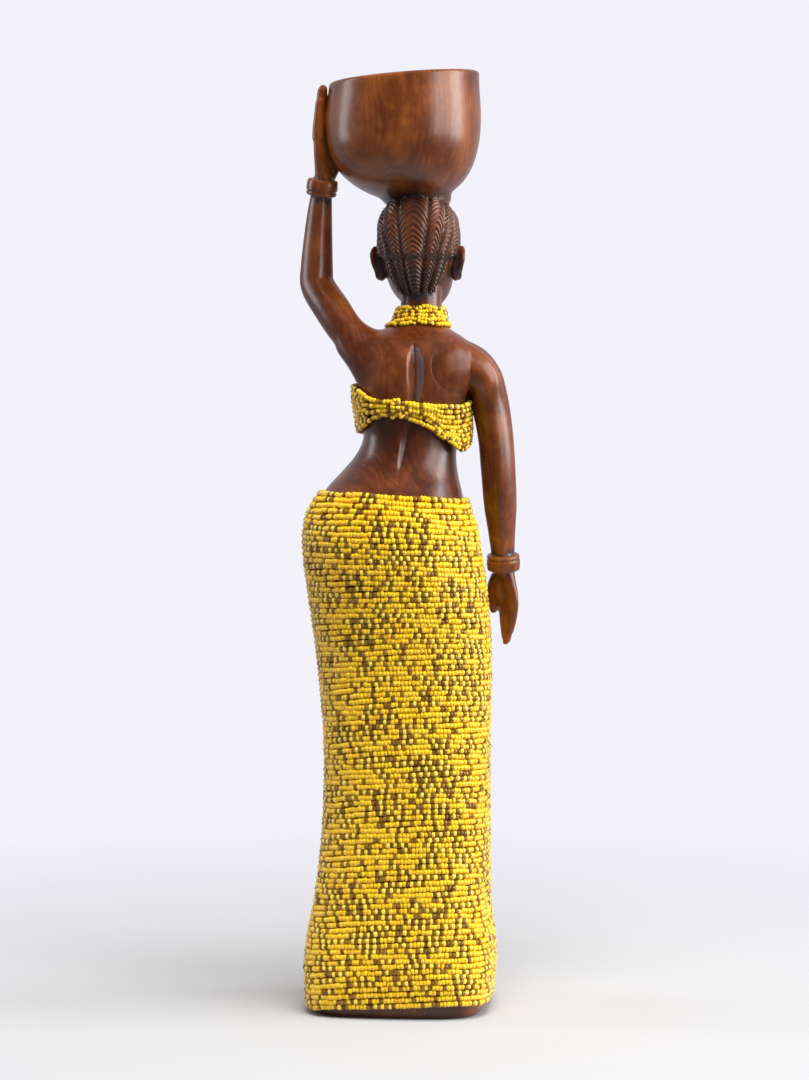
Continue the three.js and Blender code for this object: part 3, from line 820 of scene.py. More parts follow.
def refine(bm, inside):
    """Splits the faces where the carving is fine."""
    chosen = [e for e, keep in zip(bm.edges, inside(bm)) if keep]
    bmesh.ops.subdivide_edges(bm, edges=chosen, cuts=1, use_grid_fill=True)
    return bm


def fine_regions(bm):
    at = np.array([(e.verts[0].co + e.verts[1].co) / 2 for e in bm.edges])
    local = in_frame(at, TO_BODY)
    spine = (local[:, 1] > 8) & (local[:, 2] > 222) & (local[:, 2] < 284) & (np.abs(local[:, 0] + 4) < 9)
    face = in_frame(at, TO_HEAD)
    features = (face[:, 1] < -15) & (face[:, 2] < 2) & (face[:, 2] > -20)
    return spine | features


def mark_hollows(mesh):
    """Keeps on each vertex how far it lies in a hollow, where the colour is darkened as stain gathered there
    and as painted shade.
    """
    count = len(mesh.vertices)
    at = np.empty(count * 3)
    mesh.vertices.foreach_get("co", at)
    at = at.reshape(-1, 3) / MM
    normals = np.empty(count * 3)
    mesh.vertices.foreach_get("normal", normals)
    normals = normals.reshape(-1, 3)
    edges = np.empty(len(mesh.edges) * 2, int)
    mesh.edges.foreach_get("vertices", edges)
    a, b = edges.reshape(-1, 2).T
    near = np.bincount(a, minlength=count) + np.bincount(b, minlength=count)
    near = np.maximum(near, 1)

    def spread(values):
        total = np.bincount(a, values[b], count) + np.bincount(b, values[a], count)
        return total / near

    away = at[b] - at[a]
    length = np.maximum(np.linalg.norm(away, axis=1), 1e-6)
    # long edges count for more, so that slivers along a seam leave no specks
    rise = (away * normals[a]).sum(1)
    fall = (-away * normals[b]).sum(1)
    around = np.bincount(a, length, count) + np.bincount(b, length, count)
    hollow = (np.bincount(a, rise, count) + np.bincount(b, fall, count)) / np.maximum(around, 1e-6)
    for _ in range(5):
        hollow = 0.5 * hollow + 0.5 * spread(hollow)
    x, y, z = in_frame(at, TO_HEAD).T
    on_hair = (y + 0.81 * z > -6) & (z < 24) & (np.abs(x) < 19) & (y < 24)
    on_hair &= (x / 16) ** 2 + ((y - 1) / 19) ** 2 + (z / np.where(z > 0, 19, 17)) ** 2 > 1
    # the hair is a darker wood all over; below its ridge, where it turns under, painted shade darkens it
    # further
    hollow = hollow * np.where(on_hair, 1.5, 3) + on_hair * (0.3 + 0.18 * smoothstep(-z, 0.8, 3))
    # one wall of the spine's furrow is painted grey as a painted reflection of a light, weaker low down,
    # which is kept as less than nought
    x, y, z = in_frame(at, TO_BODY).T
    line, depth, _, wide = FURROW(z).T
    up_the_wall = (line - x) / wide
    painted_reflection = smoothstep(up_the_wall, 0.02, 0.2) * (1 - smoothstep(up_the_wall, 0.85, 1))
    painted_reflection *= smoothstep(depth, 0.3, 1.5) * (0.35 + 0.65 * smoothstep(z, 246, 256)) * beside_furrow(y, z)
    hollow = hollow * (1 - painted_reflection) - painted_reflection
    kept = mesh.attributes.new("hollow", "FLOAT", "POINT")
    kept.data.foreach_set("value", np.clip(hollow, -1, 1).astype(np.float32))


# Beadwork


def bead_shape(end):
    """A short rounded bead along X with radius 1 and length 1, its hole covered by its neighbours."""
    bm = upright_cylinder(BEAD_SIDES, end, 1, 2)
    belly = [v for v in bm.verts if abs(v.co.z) < 0.4]
    bmesh.ops.scale(bm, vec=(1 / end, 1 / end, 1.6), verts=belly)
    bmesh.ops.rotate(bm, matrix=Matrix.Rotation(math.pi / 2, 3, "Y"), cent=(0, 0, 0), verts=bm.verts)
    bmesh.ops.recalc_face_normals(bm, faces=bm.faces)
    return bm


def stamped(shape, frames, shades, name):
    """A mesh that repeats a small shape in every frame, and keeps a shade for each copy."""
    shape.verts.ensure_lookup_table()
    corners = coordinates(shape)
    faces = [[v.index for v in f.verts] for f in shape.faces]
    count = len(frames)
    points = np.einsum("nij,kj->nki", frames[:, :, :3], corners) + frames[:, None, :, 3]
    totals = np.array([len(f) for f in faces])
    loops = np.concatenate([np.array(f) for f in faces])
    all_loops = (loops[None, :] + np.arange(count)[:, None] * len(corners)).ravel()
    all_totals = np.tile(totals, count)
    starts = np.append(0, np.cumsum(all_totals)[:-1])
    mesh = bpy.data.meshes.new(name)
    mesh.vertices.add(count * len(corners))
    mesh.vertices.foreach_set("co", (points * MM).astype(np.float32).ravel())
    mesh.loops.add(len(all_loops))
    mesh.loops.foreach_set("vertex_index", all_loops.astype(np.int32))
    mesh.polygons.add(len(all_totals))
    mesh.polygons.foreach_set("loop_start", starts.astype(np.int32))
    mesh.update(calc_edges=True)
    shade = mesh.attributes.new("shade", "FLOAT", "POINT")
    shade.data.foreach_set("value", np.repeat(shades, len(corners)).astype(np.float32))
    mesh.validate()
    return mesh


def along(path, pitch, closed):
    """Evenly spaced places and directions on a path, with the share of its length that each has gone."""
    path = np.vstack([path, path[:1]]) if closed else path
    gone = way_gone(path)
    count = max(2, int(round(gone[-1] / pitch)))
    wanted = (np.arange(count) + 0.5) / count * gone[-1]
    places = np.column_stack([np.interp(wanted, gone, path[:, i]) for i in range(3)])
    step = gone[-1] / count / 2
    ahead = np.column_stack([np.interp(wanted + step, gone, path[:, i]) for i in range(3)])
    behind = np.column_stack([np.interp(wanted - step, gone, path[:, i]) for i in range(3)])
    return places, unit(ahead - behind), wanted / gone[-1], gone[-1] / count


def bead_frames(places, string, outward, length, diameter, dice, unevenness):
    """A frame for each bead on a string, with the small unevenness of hand threading."""
    count = len(places)
    outward = unit(outward - (outward * string).sum(1)[:, None] * string)
    up = np.cross(string, outward)
    lean = dice.normal(0, 0.1 * unevenness, count)[:, None]
    roll = dice.normal(0, 0.06 * unevenness, count)[:, None]
    string = unit(string + lean * up + roll * outward)
    up = unit(np.cross(string, outward))
    outward = np.cross(up, string)
    size = diameter / 2 * dice.normal(1, 0.045 * unevenness, count)[:, None]
    long = length * dice.normal(1, 0.08 * unevenness, count)[:, None]
    places = places + outward * dice.normal(0, 0.12 * unevenness, count)[:, None]
    places = places + up * dice.normal(0, 0.11 * unevenness, count)[:, None]
    return np.stack([string * long, outward * size, up * size, places], axis=2)


def runs(count, dark_share, dice):
    """Which beads on a string are dark: short runs of one kind and the other."""
    chance = dice.random(count)
    starts = dark_share * DARK_RUN_ENDS / (1 - dark_share)
    dark = np.zeros(count, bool)
    for i in range(1, count):
        dark[i] = chance[i] > DARK_RUN_ENDS if dark[i - 1] else chance[i] < starts[i]
    return dark


class Strings:
    """Beads gathered in two kinds before they are stamped."""

    def __init__(self, dice):
        self.dice = dice
        self.kinds = {"yellow": [], "bronze": []}

    def add(self, frames, dark):
        # a yellow bead between two dark ones is painted paler, a painted highlight
        lone_highlighted = ~dark & np.roll(dark, 1) & np.roll(dark, -1)
        shades = np.where(lone_highlighted, 1, 0.85 * self.dice.random(len(frames)))
        height = frames[:, 2, 3]
        for kind, chosen in (("yellow", ~dark), ("bronze", dark)):
            self.kinds[kind].append((frames[chosen], shades[chosen], height[chosen]))

    def pieces(self, shape, kind, name, parts):
        """The beads of one kind as meshes, parted by height so that none grows too large."""
        frames, shades, height = (np.concatenate(group) for group in zip(*self.kinds[kind]))
        order = np.argsort(height, kind="stable")
        for i, chosen in enumerate(np.array_split(order, parts)):
            part_name = f"{name}_{i + 1}" if parts > 1 else name
            yield part_name, stamped(shape, frames[chosen], shades[chosen], part_name)


def string_beads(
    strings, path, outward_at, settings, dark_share, closed, unevenness=1.0, diameter=None, pitch=None
):
    """Strings beads along a path. The wrap's sizes hold where none are given."""
    places, direction, share, length = along(path, pitch or settings.pitch / MM, closed)
    frames = bead_frames(
        places,
        direction,
        outward_at(places, share),
        length * 0.985,
        diameter or settings.diameter / MM,
        strings.dice,
        unevenness,
    )
    dark = runs(len(places), np.broadcast_to(dark_share(places, share), len(places)), strings.dice)
    strings.add(frames, dark)


def ring_normals(path, closed=True):
    """Outward directions of a path that runs round the body, as a function of places on it."""
    if closed:
        direction = unit(np.roll(path, -1, axis=0) - np.roll(path, 1, axis=0))
    else:
        direction = unit(np.gradient(path, axis=0))
    normal = unit(np.cross(direction, [0, 0, 1]))
    gone = way_gone(path)

    def at(places, share):
        wanted = share * gone[-1]
        return unit(np.column_stack([np.interp(wanted, gone, normal[:, i]) for i in range(3)]))

    return at


def held_path(height, angle, out, lift=0):
    """A path at its own height round the body's section as it is a little higher up."""
    path = body_points(height + lift, angle, out)
    path[:, 2] = height
    return path


def patch(place, scale, seed):
    """Soft noise that says where dark beads are more common."""
    return noise.noise(Vector((place[0] * scale[0], place[1] * scale[0], place[2] * scale[1] + seed)))


# how the rows of the wrap lie: height, slope across, how much higher they are behind, lift of the sides
ROW_LIE = smooth_rows(
    [
        (0, -0.05, 2.4, -2.4),
        (60, -0.045, 2.4, -1.7),
        (120, -0.04, 2.4, -1.2),
        (150, -0.02, 2.2, -1),
        (172, 0, 1.9, -0.8),
        (192, 0.03, 1.6, -0.4),
        (220, 0.055, 1.5, 0),
    ]
)


def skirt_strings(settings):
    """The rows of the wrap from its hem to the waistband."""
    strings = Strings(np.random.default_rng(7))
    rows = int(round((WAISTBAND - SKIRT_HEM) / (settings.row_pitch / MM)))
    angle = np.linspace(0, math.tau, 720, endpoint=False)
    out = BEAD_GAP + settings.diameter / MM / 2

    def dark_share(places, share):
        wide = np.array([patch(p, (0.04, 0.06), 3.1) for p in places])
        fine = np.array([patch(p, (0.16, 0.24), 9.7) for p in places])
        return np.clip(0.31 + 0.14 * wide + 0.3 * fine, 0.08, 0.7)

    for row in range(rows):
        level = (row + 0.5) / rows
        level = level * 1.025 - level * level * 0.025
        height = SKIRT_HEM + (WAISTBAND - SKIRT_HEM) * level
        slope, bow, lift = ROW_LIE(height)[0]
        start = strings.dice.random() * math.tau
        turned = angle + start
        side = body_points(np.full(angle.shape, height), turned, out)[:, 0]
        wave = 0.24 * np.sin(turned * 3 + row * 0.6) + 0.15 * np.sin(turned * 7 + row * 1.2)
        wave += lift + bow * np.sin(turned) ** 2
        path = body_points(height + slope * side + wave, turned, out)
        string_beads(strings, path, ring_normals(path), settings, dark_share, True)
    return strings


def bandeau_strings(settings):
    """Strands that fan out from the knot behind, run round the breast and draw together before the knot."""
    strings = Strings(np.random.default_rng(11))
    edges = smooth_rows(BANDEAU)

    def dark_share(places, share):
        # more dark beads on the side by the hanging arm: partly the beads there, partly painted shade where
        # that side lies in the arm's shadow
        return np.where(places[:, 0] < -26, 0.45, 0.24)

    for k in range(BAND_STRANDS):
        # four strands run on side by side to the knot, and the others end where the band narrows
        whole = k % 3 == 0
        # behind the right side the upper ones lie level and the others slant down under them
        level = k >= BAND_STRANDS - LEVEL_STRANDS
        start, end = KNOT, KNOT + 360
        if not whole:
            start, end = KNOT + (9 if level else 30 + 5 * k), KNOT + 326 - 3 * (k % 3)
        degrees = np.linspace(start, end, 720, endpoint=not whole)
        angle = np.radians(degrees)
        bottom, top = edges(degrees % 360).T
        even = bottom + (top - bottom) * (k + 0.5) / BAND_STRANDS
        if level:
            fanned = top - BAND_BEAD * (BAND_STRANDS - 0.5 - k)
        else:
            room = np.maximum(top - LEVEL_STRANDS * BAND_BEAD - bottom, 0)
            fanned = bottom + room * (k + 0.5) / (BAND_STRANDS - LEVEL_STRANDS)
        on_fan = smoothstep(degrees, KNOT + 6, KNOT + 40) * (1 - smoothstep(degrees, KNOT + 90, KNOT + 130))
        height = even + (fanned - even) * on_fan
        at_knot = 1 - smoothstep(np.minimum(degrees - KNOT, KNOT + 360 - degrees), 18, 44)
        slot = bottom + (top - bottom) * (k / 3 + 0.5) / 4
        height = height + (slot - height) * at_knot
        out = BUST_GAP + BAND_BEAD / 2 + (k % 3) * 0.4 * smoothstep(degrees, KNOT, KNOT + 10) * at_knot
        # it stands off towards the hanging arm
        stand_off = 1.7 * bump(degrees - 190, 32) * smoothstep(257 - height, 0, 8)
        out = out + stand_off * smoothstep(height, 234, 243)
        lift = np.maximum(0, BANDEAU_HANG - height) * (1 - np.cos(angle)) / 2
        path = held_path(height, angle, out, lift)
        outward = ring_normals(path, whole)
        string_beads(strings, path, outward, settings, dark_share, whole, 1, BAND_BEAD)
    # the knot's own loops lie over the strands
    bottom, top = edges(KNOT)[0]
    for turn, lean in ((-3.6, 1.5), (1.6, -0.8)):
        step = np.linspace(0.12, math.pi - 0.12, 40)
        height = (top + bottom) / 2 + (top - bottom + 1.2) / 2 * np.cos(step)
        angle = np.radians(KNOT + turn + lean * np.cos(step))
        path = held_path(height, angle, BUST_GAP + BAND_BEAD * (0.45 + 0.75 * np.sin(step)))
        facing = unit(np.column_stack([path[:, 0] - path[:, 0].mean(), np.full(40, 3.0), height * 0]))

        def outward(places, share, facing=facing):
            return facing[np.clip((share * 39).astype(int), 0, 39)]

        string_beads(strings, path, outward, settings, lambda p, s: 0.25, False, 1, KNOT_BEAD)
    return strings


def choker_strings(settings):
    """Rows of slightly uneven small beads that meet behind, with a few loose ones down the closure."""
    strings = Strings(np.random.default_rng(5))
    for k in range(CHOKER_ROWS):
        level = (k + 0.5) / CHOKER_ROWS
        gap = 3.4 + 2 * strings.dice.random(2)
        degrees = np.linspace(CLOSURE + gap[0], CLOSURE + 360 - gap[1], 360)
        angle = np.radians(degrees)
        from_closure = np.minimum(degrees - CLOSURE, CLOSURE + 360 - degrees)
        height = CHOKER_BOTTOM + (CHOKER_TOP - CHOKER_BOTTOM) * level
        height = height - CHOKER_DIP * (1 - np.sin(angle)) / 2
        height += 0.22 * np.sin(angle * 5 + k * 1.3) + (0.7 - level) * 0.9 * bump(from_closure, 22)
        path = held_path(height, angle, BEAD_GAP + 0.95)
        outward = ring_normals(path, False)
        string_beads(
            strings, path, outward, settings, lambda p, s: 0.2, False, 1.3, CHOKER_BEAD, CHOKER_PITCH
        )
    height = np.linspace(CHOKER_BOTTOM + 0.4, CHOKER_TOP, 30)
    path = held_path(height, math.radians(CLOSURE), BEAD_GAP + 0.5 + 0.25 * np.sin(height * 2.2))

    def outward(places, share):
        return np.tile([0.1, 1.0, 0.1], (len(places), 1))

    string_beads(strings, path, outward, settings, lambda p, s: 0.6, False, 1.5, CLOSURE_BEAD, CLOSURE_PITCH)
    return strings


# Materials


class Nodes:
    """Short ways to add and link the nodes of one material."""

    def __init__(self, name):
        self.material = bpy.data.materials.new(name)
        self.material.use_nodes = True
        self.tree = self.material.node_tree
        self.shader = self.tree.nodes["Principled BSDF"]

    def add(self, kind, inputs=(), **settings):
        node = self.tree.nodes.new("ShaderNode" + kind)
        for key, value in settings.items():
            setattr(node, key, value)
        for key, value in dict(inputs).items():
            if isinstance(value, bpy.types.NodeSocket):
                self.tree.links.new(value, node.inputs[key])
            else:
                node.inputs[key].default_value = value
        return node

    def ramp(self, value, *stops):
        node = self.add("ValToRGB", {"Fac": value})
        elements = node.color_ramp.elements
        while len(elements) < len(stops):
            elements.new(0.5)
        for element, (place, color) in zip(elements, stops):
            element.position = place
            element.color = (*color, 1)
        return node.outputs["Color"]

    def math(self, operation, *values):
        return self.add("Math", dict(enumerate(values)), operation=operation).outputs[0]

    def mix(self, factor, a, b):
        return self.add("Mix", {"Factor": factor, 6: a, 7: b}, data_type="RGBA").outputs[2]

    def between(self, value, start, end, low, high):
        """A number that goes from low to high while the value goes from start to end."""
        ends = {"Value": value, "From Min": start, "From Max": end, "To Min": low, "To Max": high}
        return self.add("MapRange", ends).outputs[0]

    def plain(self, **values):
        """Sets what is the same all over the surface."""
        for name, value in values.items():
            self.shader.inputs[name.replace("_", " ")].default_value = value

    def link(self, value, socket):
        self.tree.links.new(value, self.shader.inputs[socket])


def wood_material(settings):
    made = Nodes("polished_wood")
    place = made.add("TexCoord").outputs["Object"]
    millimetres = made.add("Mapping", {"Vector": place, "Scale": (1000, 1000, 1000)}).outputs[0]

    def cloud(scale, detail, where=millimetres, stretch=(1, 1, 1)):
        at = made.add("Mapping", {"Vector": where, "Scale": stretch}).outputs[0]
        return made.add("TexNoise", {"Vector": at, "Scale": scale, "Detail": detail, "Roughness": 0.6})

    patches = cloud(0.05, 3, stretch=(1, 1, 0.7)).outputs["Fac"]
    mottle = cloud(0.19, 3).outputs["Fac"]
    # growth rings round the heart of an upright log, which lies before the figure's right side
    heart = {"Vector": millimetres, "Location": (44, 52, 0), "Scale": (1, 1, 0.12)}
    log = made.add("Mapping", heart).outputs[0]
    sway = cloud(0.03, 2, log).outputs["Color"]
    swayed = made.add("VectorMath", {0: sway, 1: (34, 34, 0)}, operation="MULTIPLY").outputs[0]
    ring_place = made.add("VectorMath", {0: log, 1: swayed}, operation="ADD").outputs[0]
    rings = made.add(
        "TexWave",
        {"Vector": ring_place, "Scale": 0.13, "Distortion": 1.6, "Detail": 3, "Detail Scale": 0.5},
        wave_type="RINGS",
        rings_direction="Z",
    ).outputs["Fac"]
    ring_strength = made.math("MULTIPLY", rings, made.ramp(mottle, (0.4, (0, 0, 0)), (0.65, (1, 1, 1))))
    fibres = cloud(1.5, 4, stretch=(1, 1, 0.045)).outputs["Fac"]
    tone = made.math("MULTIPLY_ADD", patches, 0.36, made.math("MULTIPLY_ADD", mottle, 0.2, 0.075))
    tone = made.math("MULTIPLY_ADD", ring_strength, -0.05, tone)
    tone = made.math("MULTIPLY_ADD", fibres, 0.08, tone)
    # the bowl is a little paler
    parts = made.add("SeparateXYZ", {"Vector": millimetres}).outputs
    tone = made.math("ADD", tone, made.between(parts["Z"], 338, 352, 0, 0.045))
    # the waist is painted a little darker as painted shade, and the arm beside it a little lighter as painted
    # light
    low = made.between(parts["Z"], 232, 256, 1, 0)
    waist_shade_arm_light = made.between(parts["X"], -32, -27, 0.03, -0.035)
    tone = made.math("MULTIPLY_ADD", low, waist_shade_arm_light, tone)
    dark, middle, light = (tuple(c) for c in (settings.dark, settings.middle, settings.light))
    color = made.ramp(tone, (0.32, dark), (0.4, middle), (0.5, light))
    # the hollows are darkened as stain and as painted shade, and one wall of the furrow is painted grey as a
    # painted reflection
    hollow = made.add("Attribute", attribute_name="hollow").outputs["Fac"]
    gathered = made.ramp(hollow, (0.04, (0, 0, 0)), (0.5, (0.9, 0.9, 0.9)))
    color = made.mix(gathered, color, STAIN_AND_SHADE_IN_HOLLOWS)
    painted_reflection = made.ramp(made.math("MULTIPLY", hollow, -1.0), (0.35, (0, 0, 0)), (1, (0.6, 0.6, 0.6)))
    color = made.mix(painted_reflection, color, GREY_PAINTED_REFLECTION)
    made.link(color, "Base Color")
    made.link(made.math("MULTIPLY_ADD", fibres, 0.12, settings.roughness - 0.06), "Roughness")
    bump_node = made.add("Bump", {"Height": fibres, "Strength": 0.08, "Distance": 0.0002})
    made.link(bump_node.outputs[0], "Normal")
    # less polish where the right shoulder blade meets the arm, which otherwise mirrors a light as a spot
    blade = made.add("VectorMath", {0: millimetres, 1: (-25.5, 13.4, 271)}, operation="DISTANCE")
    made.link(made.between(blade.outputs["Value"], 4, 13, 0.12, 0.8), "Coat Weight")
    made.plain(Specular_IOR_Level=0.15, Coat_Roughness=0.26)
    return made.material


def bead_material(name, low, high, pale, roughness, metallic, depth, coat):
    made = Nodes(name)
    shade = made.add("Attribute", attribute_name="shade").outputs["Fac"]
    # the palest stop is a painted highlight, which only lone yellow beads take
    made.link(made.ramp(shade, (0.0, tuple(low)), (0.85, tuple(high)), (1.0, tuple(pale))), "Base Color")
    made.plain(Roughness=roughness, Metallic=metallic, Coat_Weight=coat, Coat_Roughness=0.08)
    # light goes a little way into the glass
    made.plain(Subsurface_Weight=depth, Subsurface_Radius=(1, 0.7, 0.15), Subsurface_Scale=0.0015)
    return made.material


def bead_materials(settings):
    found = bpy.data.materials.get("yellow_glass"), bpy.data.materials.get("bronze_glass")
    if all(found):
        return found
    yellows = settings.yellow_deep, settings.yellow, HIGHLIGHT_YELLOW
    bronzes = settings.bronze_deep, settings.bronze, settings.bronze
    yellow = bead_material("yellow_glass", *yellows, roughness=0.28, metallic=0.0, depth=0.25, coat=0.4)
    bronze = bead_material("bronze_glass", *bronzes, roughness=0.3, metallic=0.4, depth=0.0, coat=0.15)
    return yellow, bronze


def floor_material():
    """White under and round the figure, and gone where the surroundings take over."""
    made = Nodes("pale_floor")
    made.plain(Base_Color=(FLOOR_SHADE, FLOOR_SHADE, FLOOR_SHADE, 1), Roughness=0.8, Specular_IOR_Level=0.1)
    place = made.add("TexCoord").outputs["Object"]
    far = made.add("VectorMath", {0: place}, operation="LENGTH").outputs["Value"]
    gone = made.ramp(far, (FLOOR_RADIUS * 0.13, (0, 0, 0)), (FLOOR_RADIUS * 0.5, (1, 1, 1)))
    clear = made.add("BsdfTransparent")
    blend = made.add("MixShader", {0: gone, 1: made.shader.outputs[0], 2: clear.outputs[0]})
    output = made.tree.nodes["Material Output"]
    made.tree.links.new(blend.outputs[0], output.inputs["Surface"])
    return made.material


def studio_world(settings):
    """A white studio that is seen evenly, and lights most from the side that the figure faces."""
    world = bpy.data.worlds.new("studio")
    world.use_nodes = True
    tree = world.node_tree
    background = tree.nodes["Background"]
    background.inputs["Color"].default_value = (0.93, 0.92, 1.0, 1)
    way = tree.nodes.new("ShaderNodeTexCoord")
    parts = tree.nodes.new("ShaderNodeSeparateXYZ")
    tree.links.new(way.outputs["Generated"], parts.inputs[0])
    fall = tree.nodes.new("ShaderNodeMapRange")
    fall.interpolation_type = "SMOOTHSTEP"
    for key, value in (("From Min", -1), ("From Max", 0.6), ("To Min", 0.6), ("To Max", 0.16)):
        fall.inputs[key].default_value = value * (settings.brightness if key.startswith("To") else 1)
    tree.links.new(parts.outputs["Y"], fall.inputs["Value"])
    ray = tree.nodes.new("ShaderNodeLightPath")
    seen = tree.nodes.new("ShaderNodeMix")
    seen.inputs["B"].default_value = 0.96 * settings.brightness
    tree.links.new(ray.outputs["Is Camera Ray"], seen.inputs["Factor"])
    tree.links.new(fall.outputs[0], seen.inputs["A"])
    tree.links.new(seen.outputs[0], background.inputs["Strength"])
    return world


# Settings that a user would change


class StatuetteWood(bpy.types.PropertyGroup):
    voxel: bpy.props.FloatProperty(
        name="Fineness", description="Size of the cells that the carved form is fused with",
        default=0.0005, min=0.0003, max=0.002, unit="LENGTH", precision=5,
    )
    roughness: bpy.props.FloatProperty(
        name="Polish", description="Roughness of the polished wood", default=0.38,
        min=0, max=1, subtype="FACTOR",
    )
    dark: bpy.props.FloatVectorProperty(
        name="Dark Grain", description="Colour of the darkest grain", default=(0.055, 0.011, 0.002),
        min=0, max=1, subtype="COLOR",
    )
    middle: bpy.props.FloatVectorProperty(
        name="Stain", description="Colour of most of the wood", default=(0.128, 0.029, 0.005),
        min=0, max=1, subtype="COLOR",
    )
    light: bpy.props.FloatVectorProperty(
        name="Light Grain", description="Colour of the lightest patches", default=(0.26, 0.072, 0.013),
        min=0, max=1, subtype="COLOR",
    )


class StatuetteBeads(bpy.types.PropertyGroup):
    diameter: bpy.props.FloatProperty(
        name="Bead Diameter", description="Outer diameter of a bead", default=0.00256,
        min=0.001, max=0.005, unit="LENGTH", precision=5,
    )
    pitch: bpy.props.FloatProperty(
        name="Bead Length", description="Distance from bead to bead on a string", default=0.00152,
        min=0.0008, max=0.005, unit="LENGTH", precision=5,
    )
    row_pitch: bpy.props.FloatProperty(
        name="Row Spacing", description="Distance from row to row of the wrap", default=0.00224,
        min=0.001, max=0.005, unit="LENGTH", precision=5,
    )
    yellow: bpy.props.FloatVectorProperty(
        name="Yellow", description="Lighter yellow glass", default=(0.92, 0.6, 0.014),
        min=0, max=1, subtype="COLOR",
    )
    yellow_deep: bpy.props.FloatVectorProperty(
        name="Deep Yellow", description="Deeper yellow glass", default=(0.85, 0.49, 0.006),
        min=0, max=1, subtype="COLOR",
    )
    bronze: bpy.props.FloatVectorProperty(
        name="Bronze", description="Lighter bronze glass", default=(0.36, 0.185, 0.022),
        min=0, max=1, subtype="COLOR",
    )
    bronze_deep: bpy.props.FloatVectorProperty(
        name="Deep Bronze", description="Darker bronze glass", default=(0.17, 0.078, 0.007),
        min=0, max=1, subtype="COLOR",
    )


class StatuetteStudio(bpy.types.PropertyGroup):
    brightness: bpy.props.FloatProperty(
        name="Studio Brightness", description="Brightness of the pale surroundings", default=1.0,
        min=0, max=5,
    )
    lamps: bpy.props.FloatProperty(
        name="Soft Lights", description="Power of the soft lights", default=14,
        min=0, max=500, subtype="POWER",
    )


# Operators


class STATUETTE_OT_carved_figure(bpy.types.Operator):
    """Carves the wooden figure with its bowl"""

    bl_idname = "statuette.carved_figure"
    bl_label = "Carved Figure"

    def execute(self, context):
        settings = context.scene.statuette_wood
        voxel = settings.voxel / MM * 1
        parts = [trunk(), head(), moved(limb(ARM_WEB, 48, 80), TO_BODY)]
        parts += [moved(limb(rows, 48, 120, ARM_ROUNDNESS), TO_BODY) for rows in (RAISED_ARM, HANGING_ARM)]
        parts += [hand(*values) for values in HANDS]
        form = worked(
            joined(parts),
            ("REMESH", {"mode": "VOXEL", "voxel_size": voxel}),
            ("SMOOTH", {"factor": 0.5, "iterations": 6}),
        )
        form.normal_update()
        form = round_joints(form, JOINTS, JOINT_ROUNDS)
        form = refine(form, fine_regions)
        form.normal_update()
        form = carve(form)
        target = FIGURE_TRIANGLES
        triangles = sum(len(f.verts) - 2 for f in form.faces)
        form = worked(form, ("DECIMATE", {"ratio": min(1, target / triangles)}))
        for part in [covered_trunk(), hair(), bowl(), *(bracelet(*values) for values in BRACELETS)]:
            form = union(form, part)
        form = without_slivers(form)
        wood = wood_material(settings)
        figure = finish_piece(form, "carved_wood_figure", "polished_wood", wood, "carved_figure")
        mark_hollows(figure.data)
        return {"FINISHED"}


def add_beads(context, strings, name, node, parts, end):
    settings = context.scene.statuette_beads
    materials = dict(zip(("yellow", "bronze"), bead_materials(settings)))
    shape = bead_shape(end)
    for kind, material in materials.items():
        for piece_name, mesh in strings.pieces(shape, kind, f"{name}_{kind}_beads", parts[kind]):
            finish_mesh(mesh, piece_name, f"{kind}_glass_beads", material, node)
    shape.free()


class STATUETTE_OT_skirt_beads(bpy.types.Operator):
    """Strings the rows of beads of the long wrap"""

    bl_idname = "statuette.skirt_beads"
    bl_label = "Wrap Beads"

    def execute(self, context):
        strings = skirt_strings(context.scene.statuette_beads)
        add_beads(context, strings, "skirt", "beaded_skirt", {"yellow": 3, "bronze": 2}, WRAP_BEAD_END)
        return {"FINISHED"}


class STATUETTE_OT_bandeau_beads(bpy.types.Operator):
    """Strings the strands of the bandeau and its knot"""

    bl_idname = "statuette.bandeau_beads"
    bl_label = "Bandeau Beads"

    def execute(self, context):
        strings = bandeau_strings(context.scene.statuette_beads)
        add_beads(context, strings, "bandeau", "beaded_bandeau", {"yellow": 1, "bronze": 1}, BAND_BEAD_END)
        return {"FINISHED"}


class STATUETTE_OT_choker_beads(bpy.types.Operator):
    """Strings the rows of the choker"""

    bl_idname = "statuette.choker_beads"
    bl_label = "Choker Beads"

    def execute(self, context):
        strings = choker_strings(context.scene.statuette_beads)
        add_beads(context, strings, "choker", "beaded_choker", {"yellow": 1, "bronze": 1}, BAND_BEAD_END)
        return {"FINISHED"}


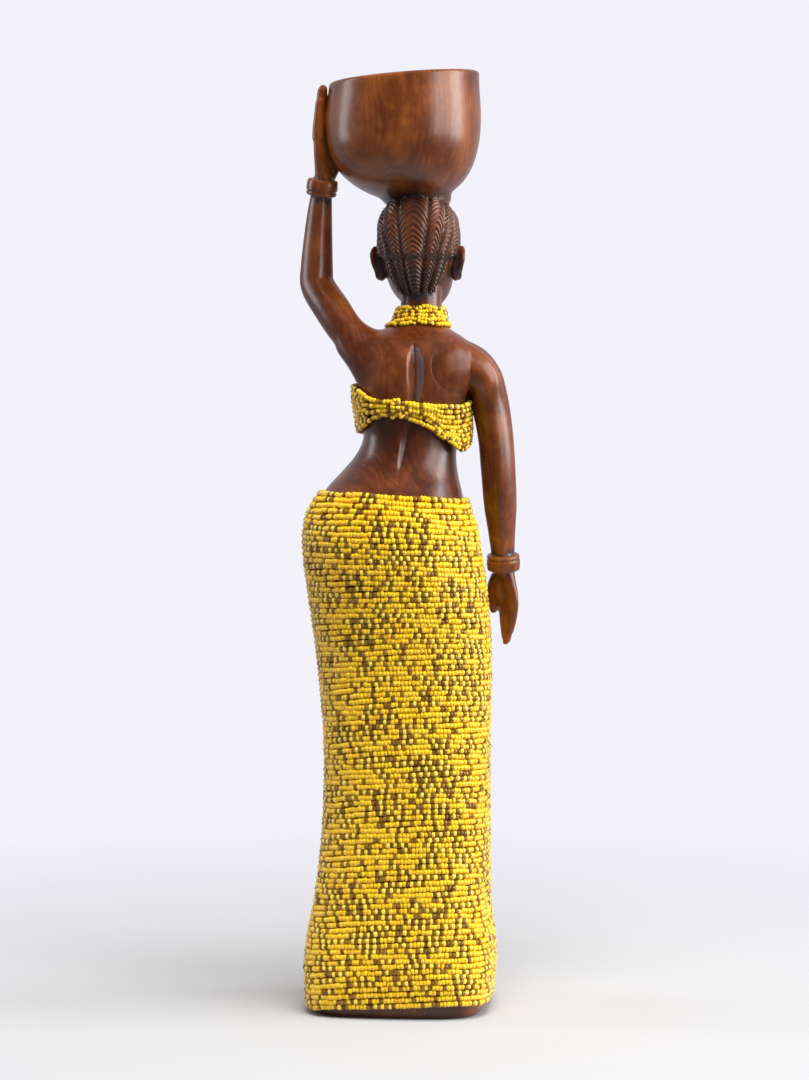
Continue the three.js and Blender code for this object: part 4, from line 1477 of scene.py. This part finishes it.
class STATUETTE_OT_studio(bpy.types.Operator):
    """Sets up the pale floor, the soft lights and the camera"""

    bl_idname = "statuette.studio"
    bl_label = "Studio"

    def execute(self, context):
        settings = context.scene.statuette_studio
        bm = bmesh.new()
        bmesh.ops.create_circle(bm, cap_ends=True, segments=96, radius=FLOOR_RADIUS)
        mesh = bpy.data.meshes.new("floor")
        bm.to_mesh(mesh)
        bm.free()
        floor = bpy.data.objects.new("floor", mesh)
        context.scene.collection.objects.link(floor)
        mesh.materials.append(floor_material())
        context.scene.world = studio_world(settings)
        for name, place, target, (width, height), share in SOFT_LIGHTS:
            data = bpy.data.lights.new(name, "AREA")
            data.shape = "RECTANGLE"
            data.size, data.size_y = width, height
            data.energy = settings.lamps * share
            lamp = bpy.data.objects.new(name, data)
            context.scene.collection.objects.link(lamp)
            lamp.location = place
            lamp.rotation_euler = (Vector(target) - Vector(place)).to_track_quat("-Z", "Y").to_euler()
            lamp.visible_camera = False
            # the polish does not mirror the overhead light
            lamp.visible_glossy = name != "top_light"
        context.scene.view_settings.view_transform = "Standard"

        data = bpy.data.cameras.new("camera")
        data.sensor_width = 36
        data.lens = CAMERA_LENS
        data.shift_x = CAMERA_SHIFT
        data.clip_end = 100
        camera = bpy.data.objects.new("camera", data)
        context.scene.collection.objects.link(camera)
        across, back = math.sin(CAMERA_AZIMUTH), -math.cos(CAMERA_AZIMUTH)
        camera.location = (CAMERA_DISTANCE * across, CAMERA_DISTANCE * back, CAMERA_HEIGHT)
        camera.rotation_euler = (math.pi / 2 - CAMERA_PITCH, 0, CAMERA_AZIMUTH)
        context.scene.camera = camera
        return {"FINISHED"}


class STATUETTE_PT_panel(bpy.types.Panel):
    """Lists the pieces of the statuette"""

    bl_idname = "STATUETTE_PT_panel"
    bl_label = "Statuette"
    bl_space_type = "VIEW_3D"
    bl_region_type = "UI"
    bl_category = "Statuette"

    def draw(self, context):
        layout = self.layout
        for operator in OPERATORS:
            layout.operator(operator.bl_idname)
        for key in GROUPS:
            group = getattr(context.scene, key)
            box = layout.box()
            for name in group.bl_rna.properties.keys():
                if name not in ("rna_type", "name"):
                    box.prop(group, name)


GROUPS = {
    "statuette_wood": StatuetteWood,
    "statuette_beads": StatuetteBeads,
    "statuette_studio": StatuetteStudio,
}
OPERATORS = (
    STATUETTE_OT_carved_figure,
    STATUETTE_OT_skirt_beads,
    STATUETTE_OT_bandeau_beads,
    STATUETTE_OT_choker_beads,
    STATUETTE_OT_studio,
)


def register():
    for name, group in GROUPS.items():
        bpy.utils.register_class(group)
        setattr(bpy.types.Scene, name, bpy.props.PointerProperty(type=group))
    for cls in (*OPERATORS, STATUETTE_PT_panel):
        bpy.utils.register_class(cls)


def unregister():
    for cls in reversed((*OPERATORS, STATUETTE_PT_panel)):
        bpy.utils.unregister_class(cls)
    for name, group in reversed(list(GROUPS.items())):
        delattr(bpy.types.Scene, name)
        bpy.utils.unregister_class(group)


def main():
    register()
    bpy.ops.statuette.carved_figure()
    bpy.ops.statuette.skirt_beads()
    bpy.ops.statuette.bandeau_beads()
    bpy.ops.statuette.choker_beads()
    bpy.ops.statuette.studio()


if __name__ == "__main__":
    main()
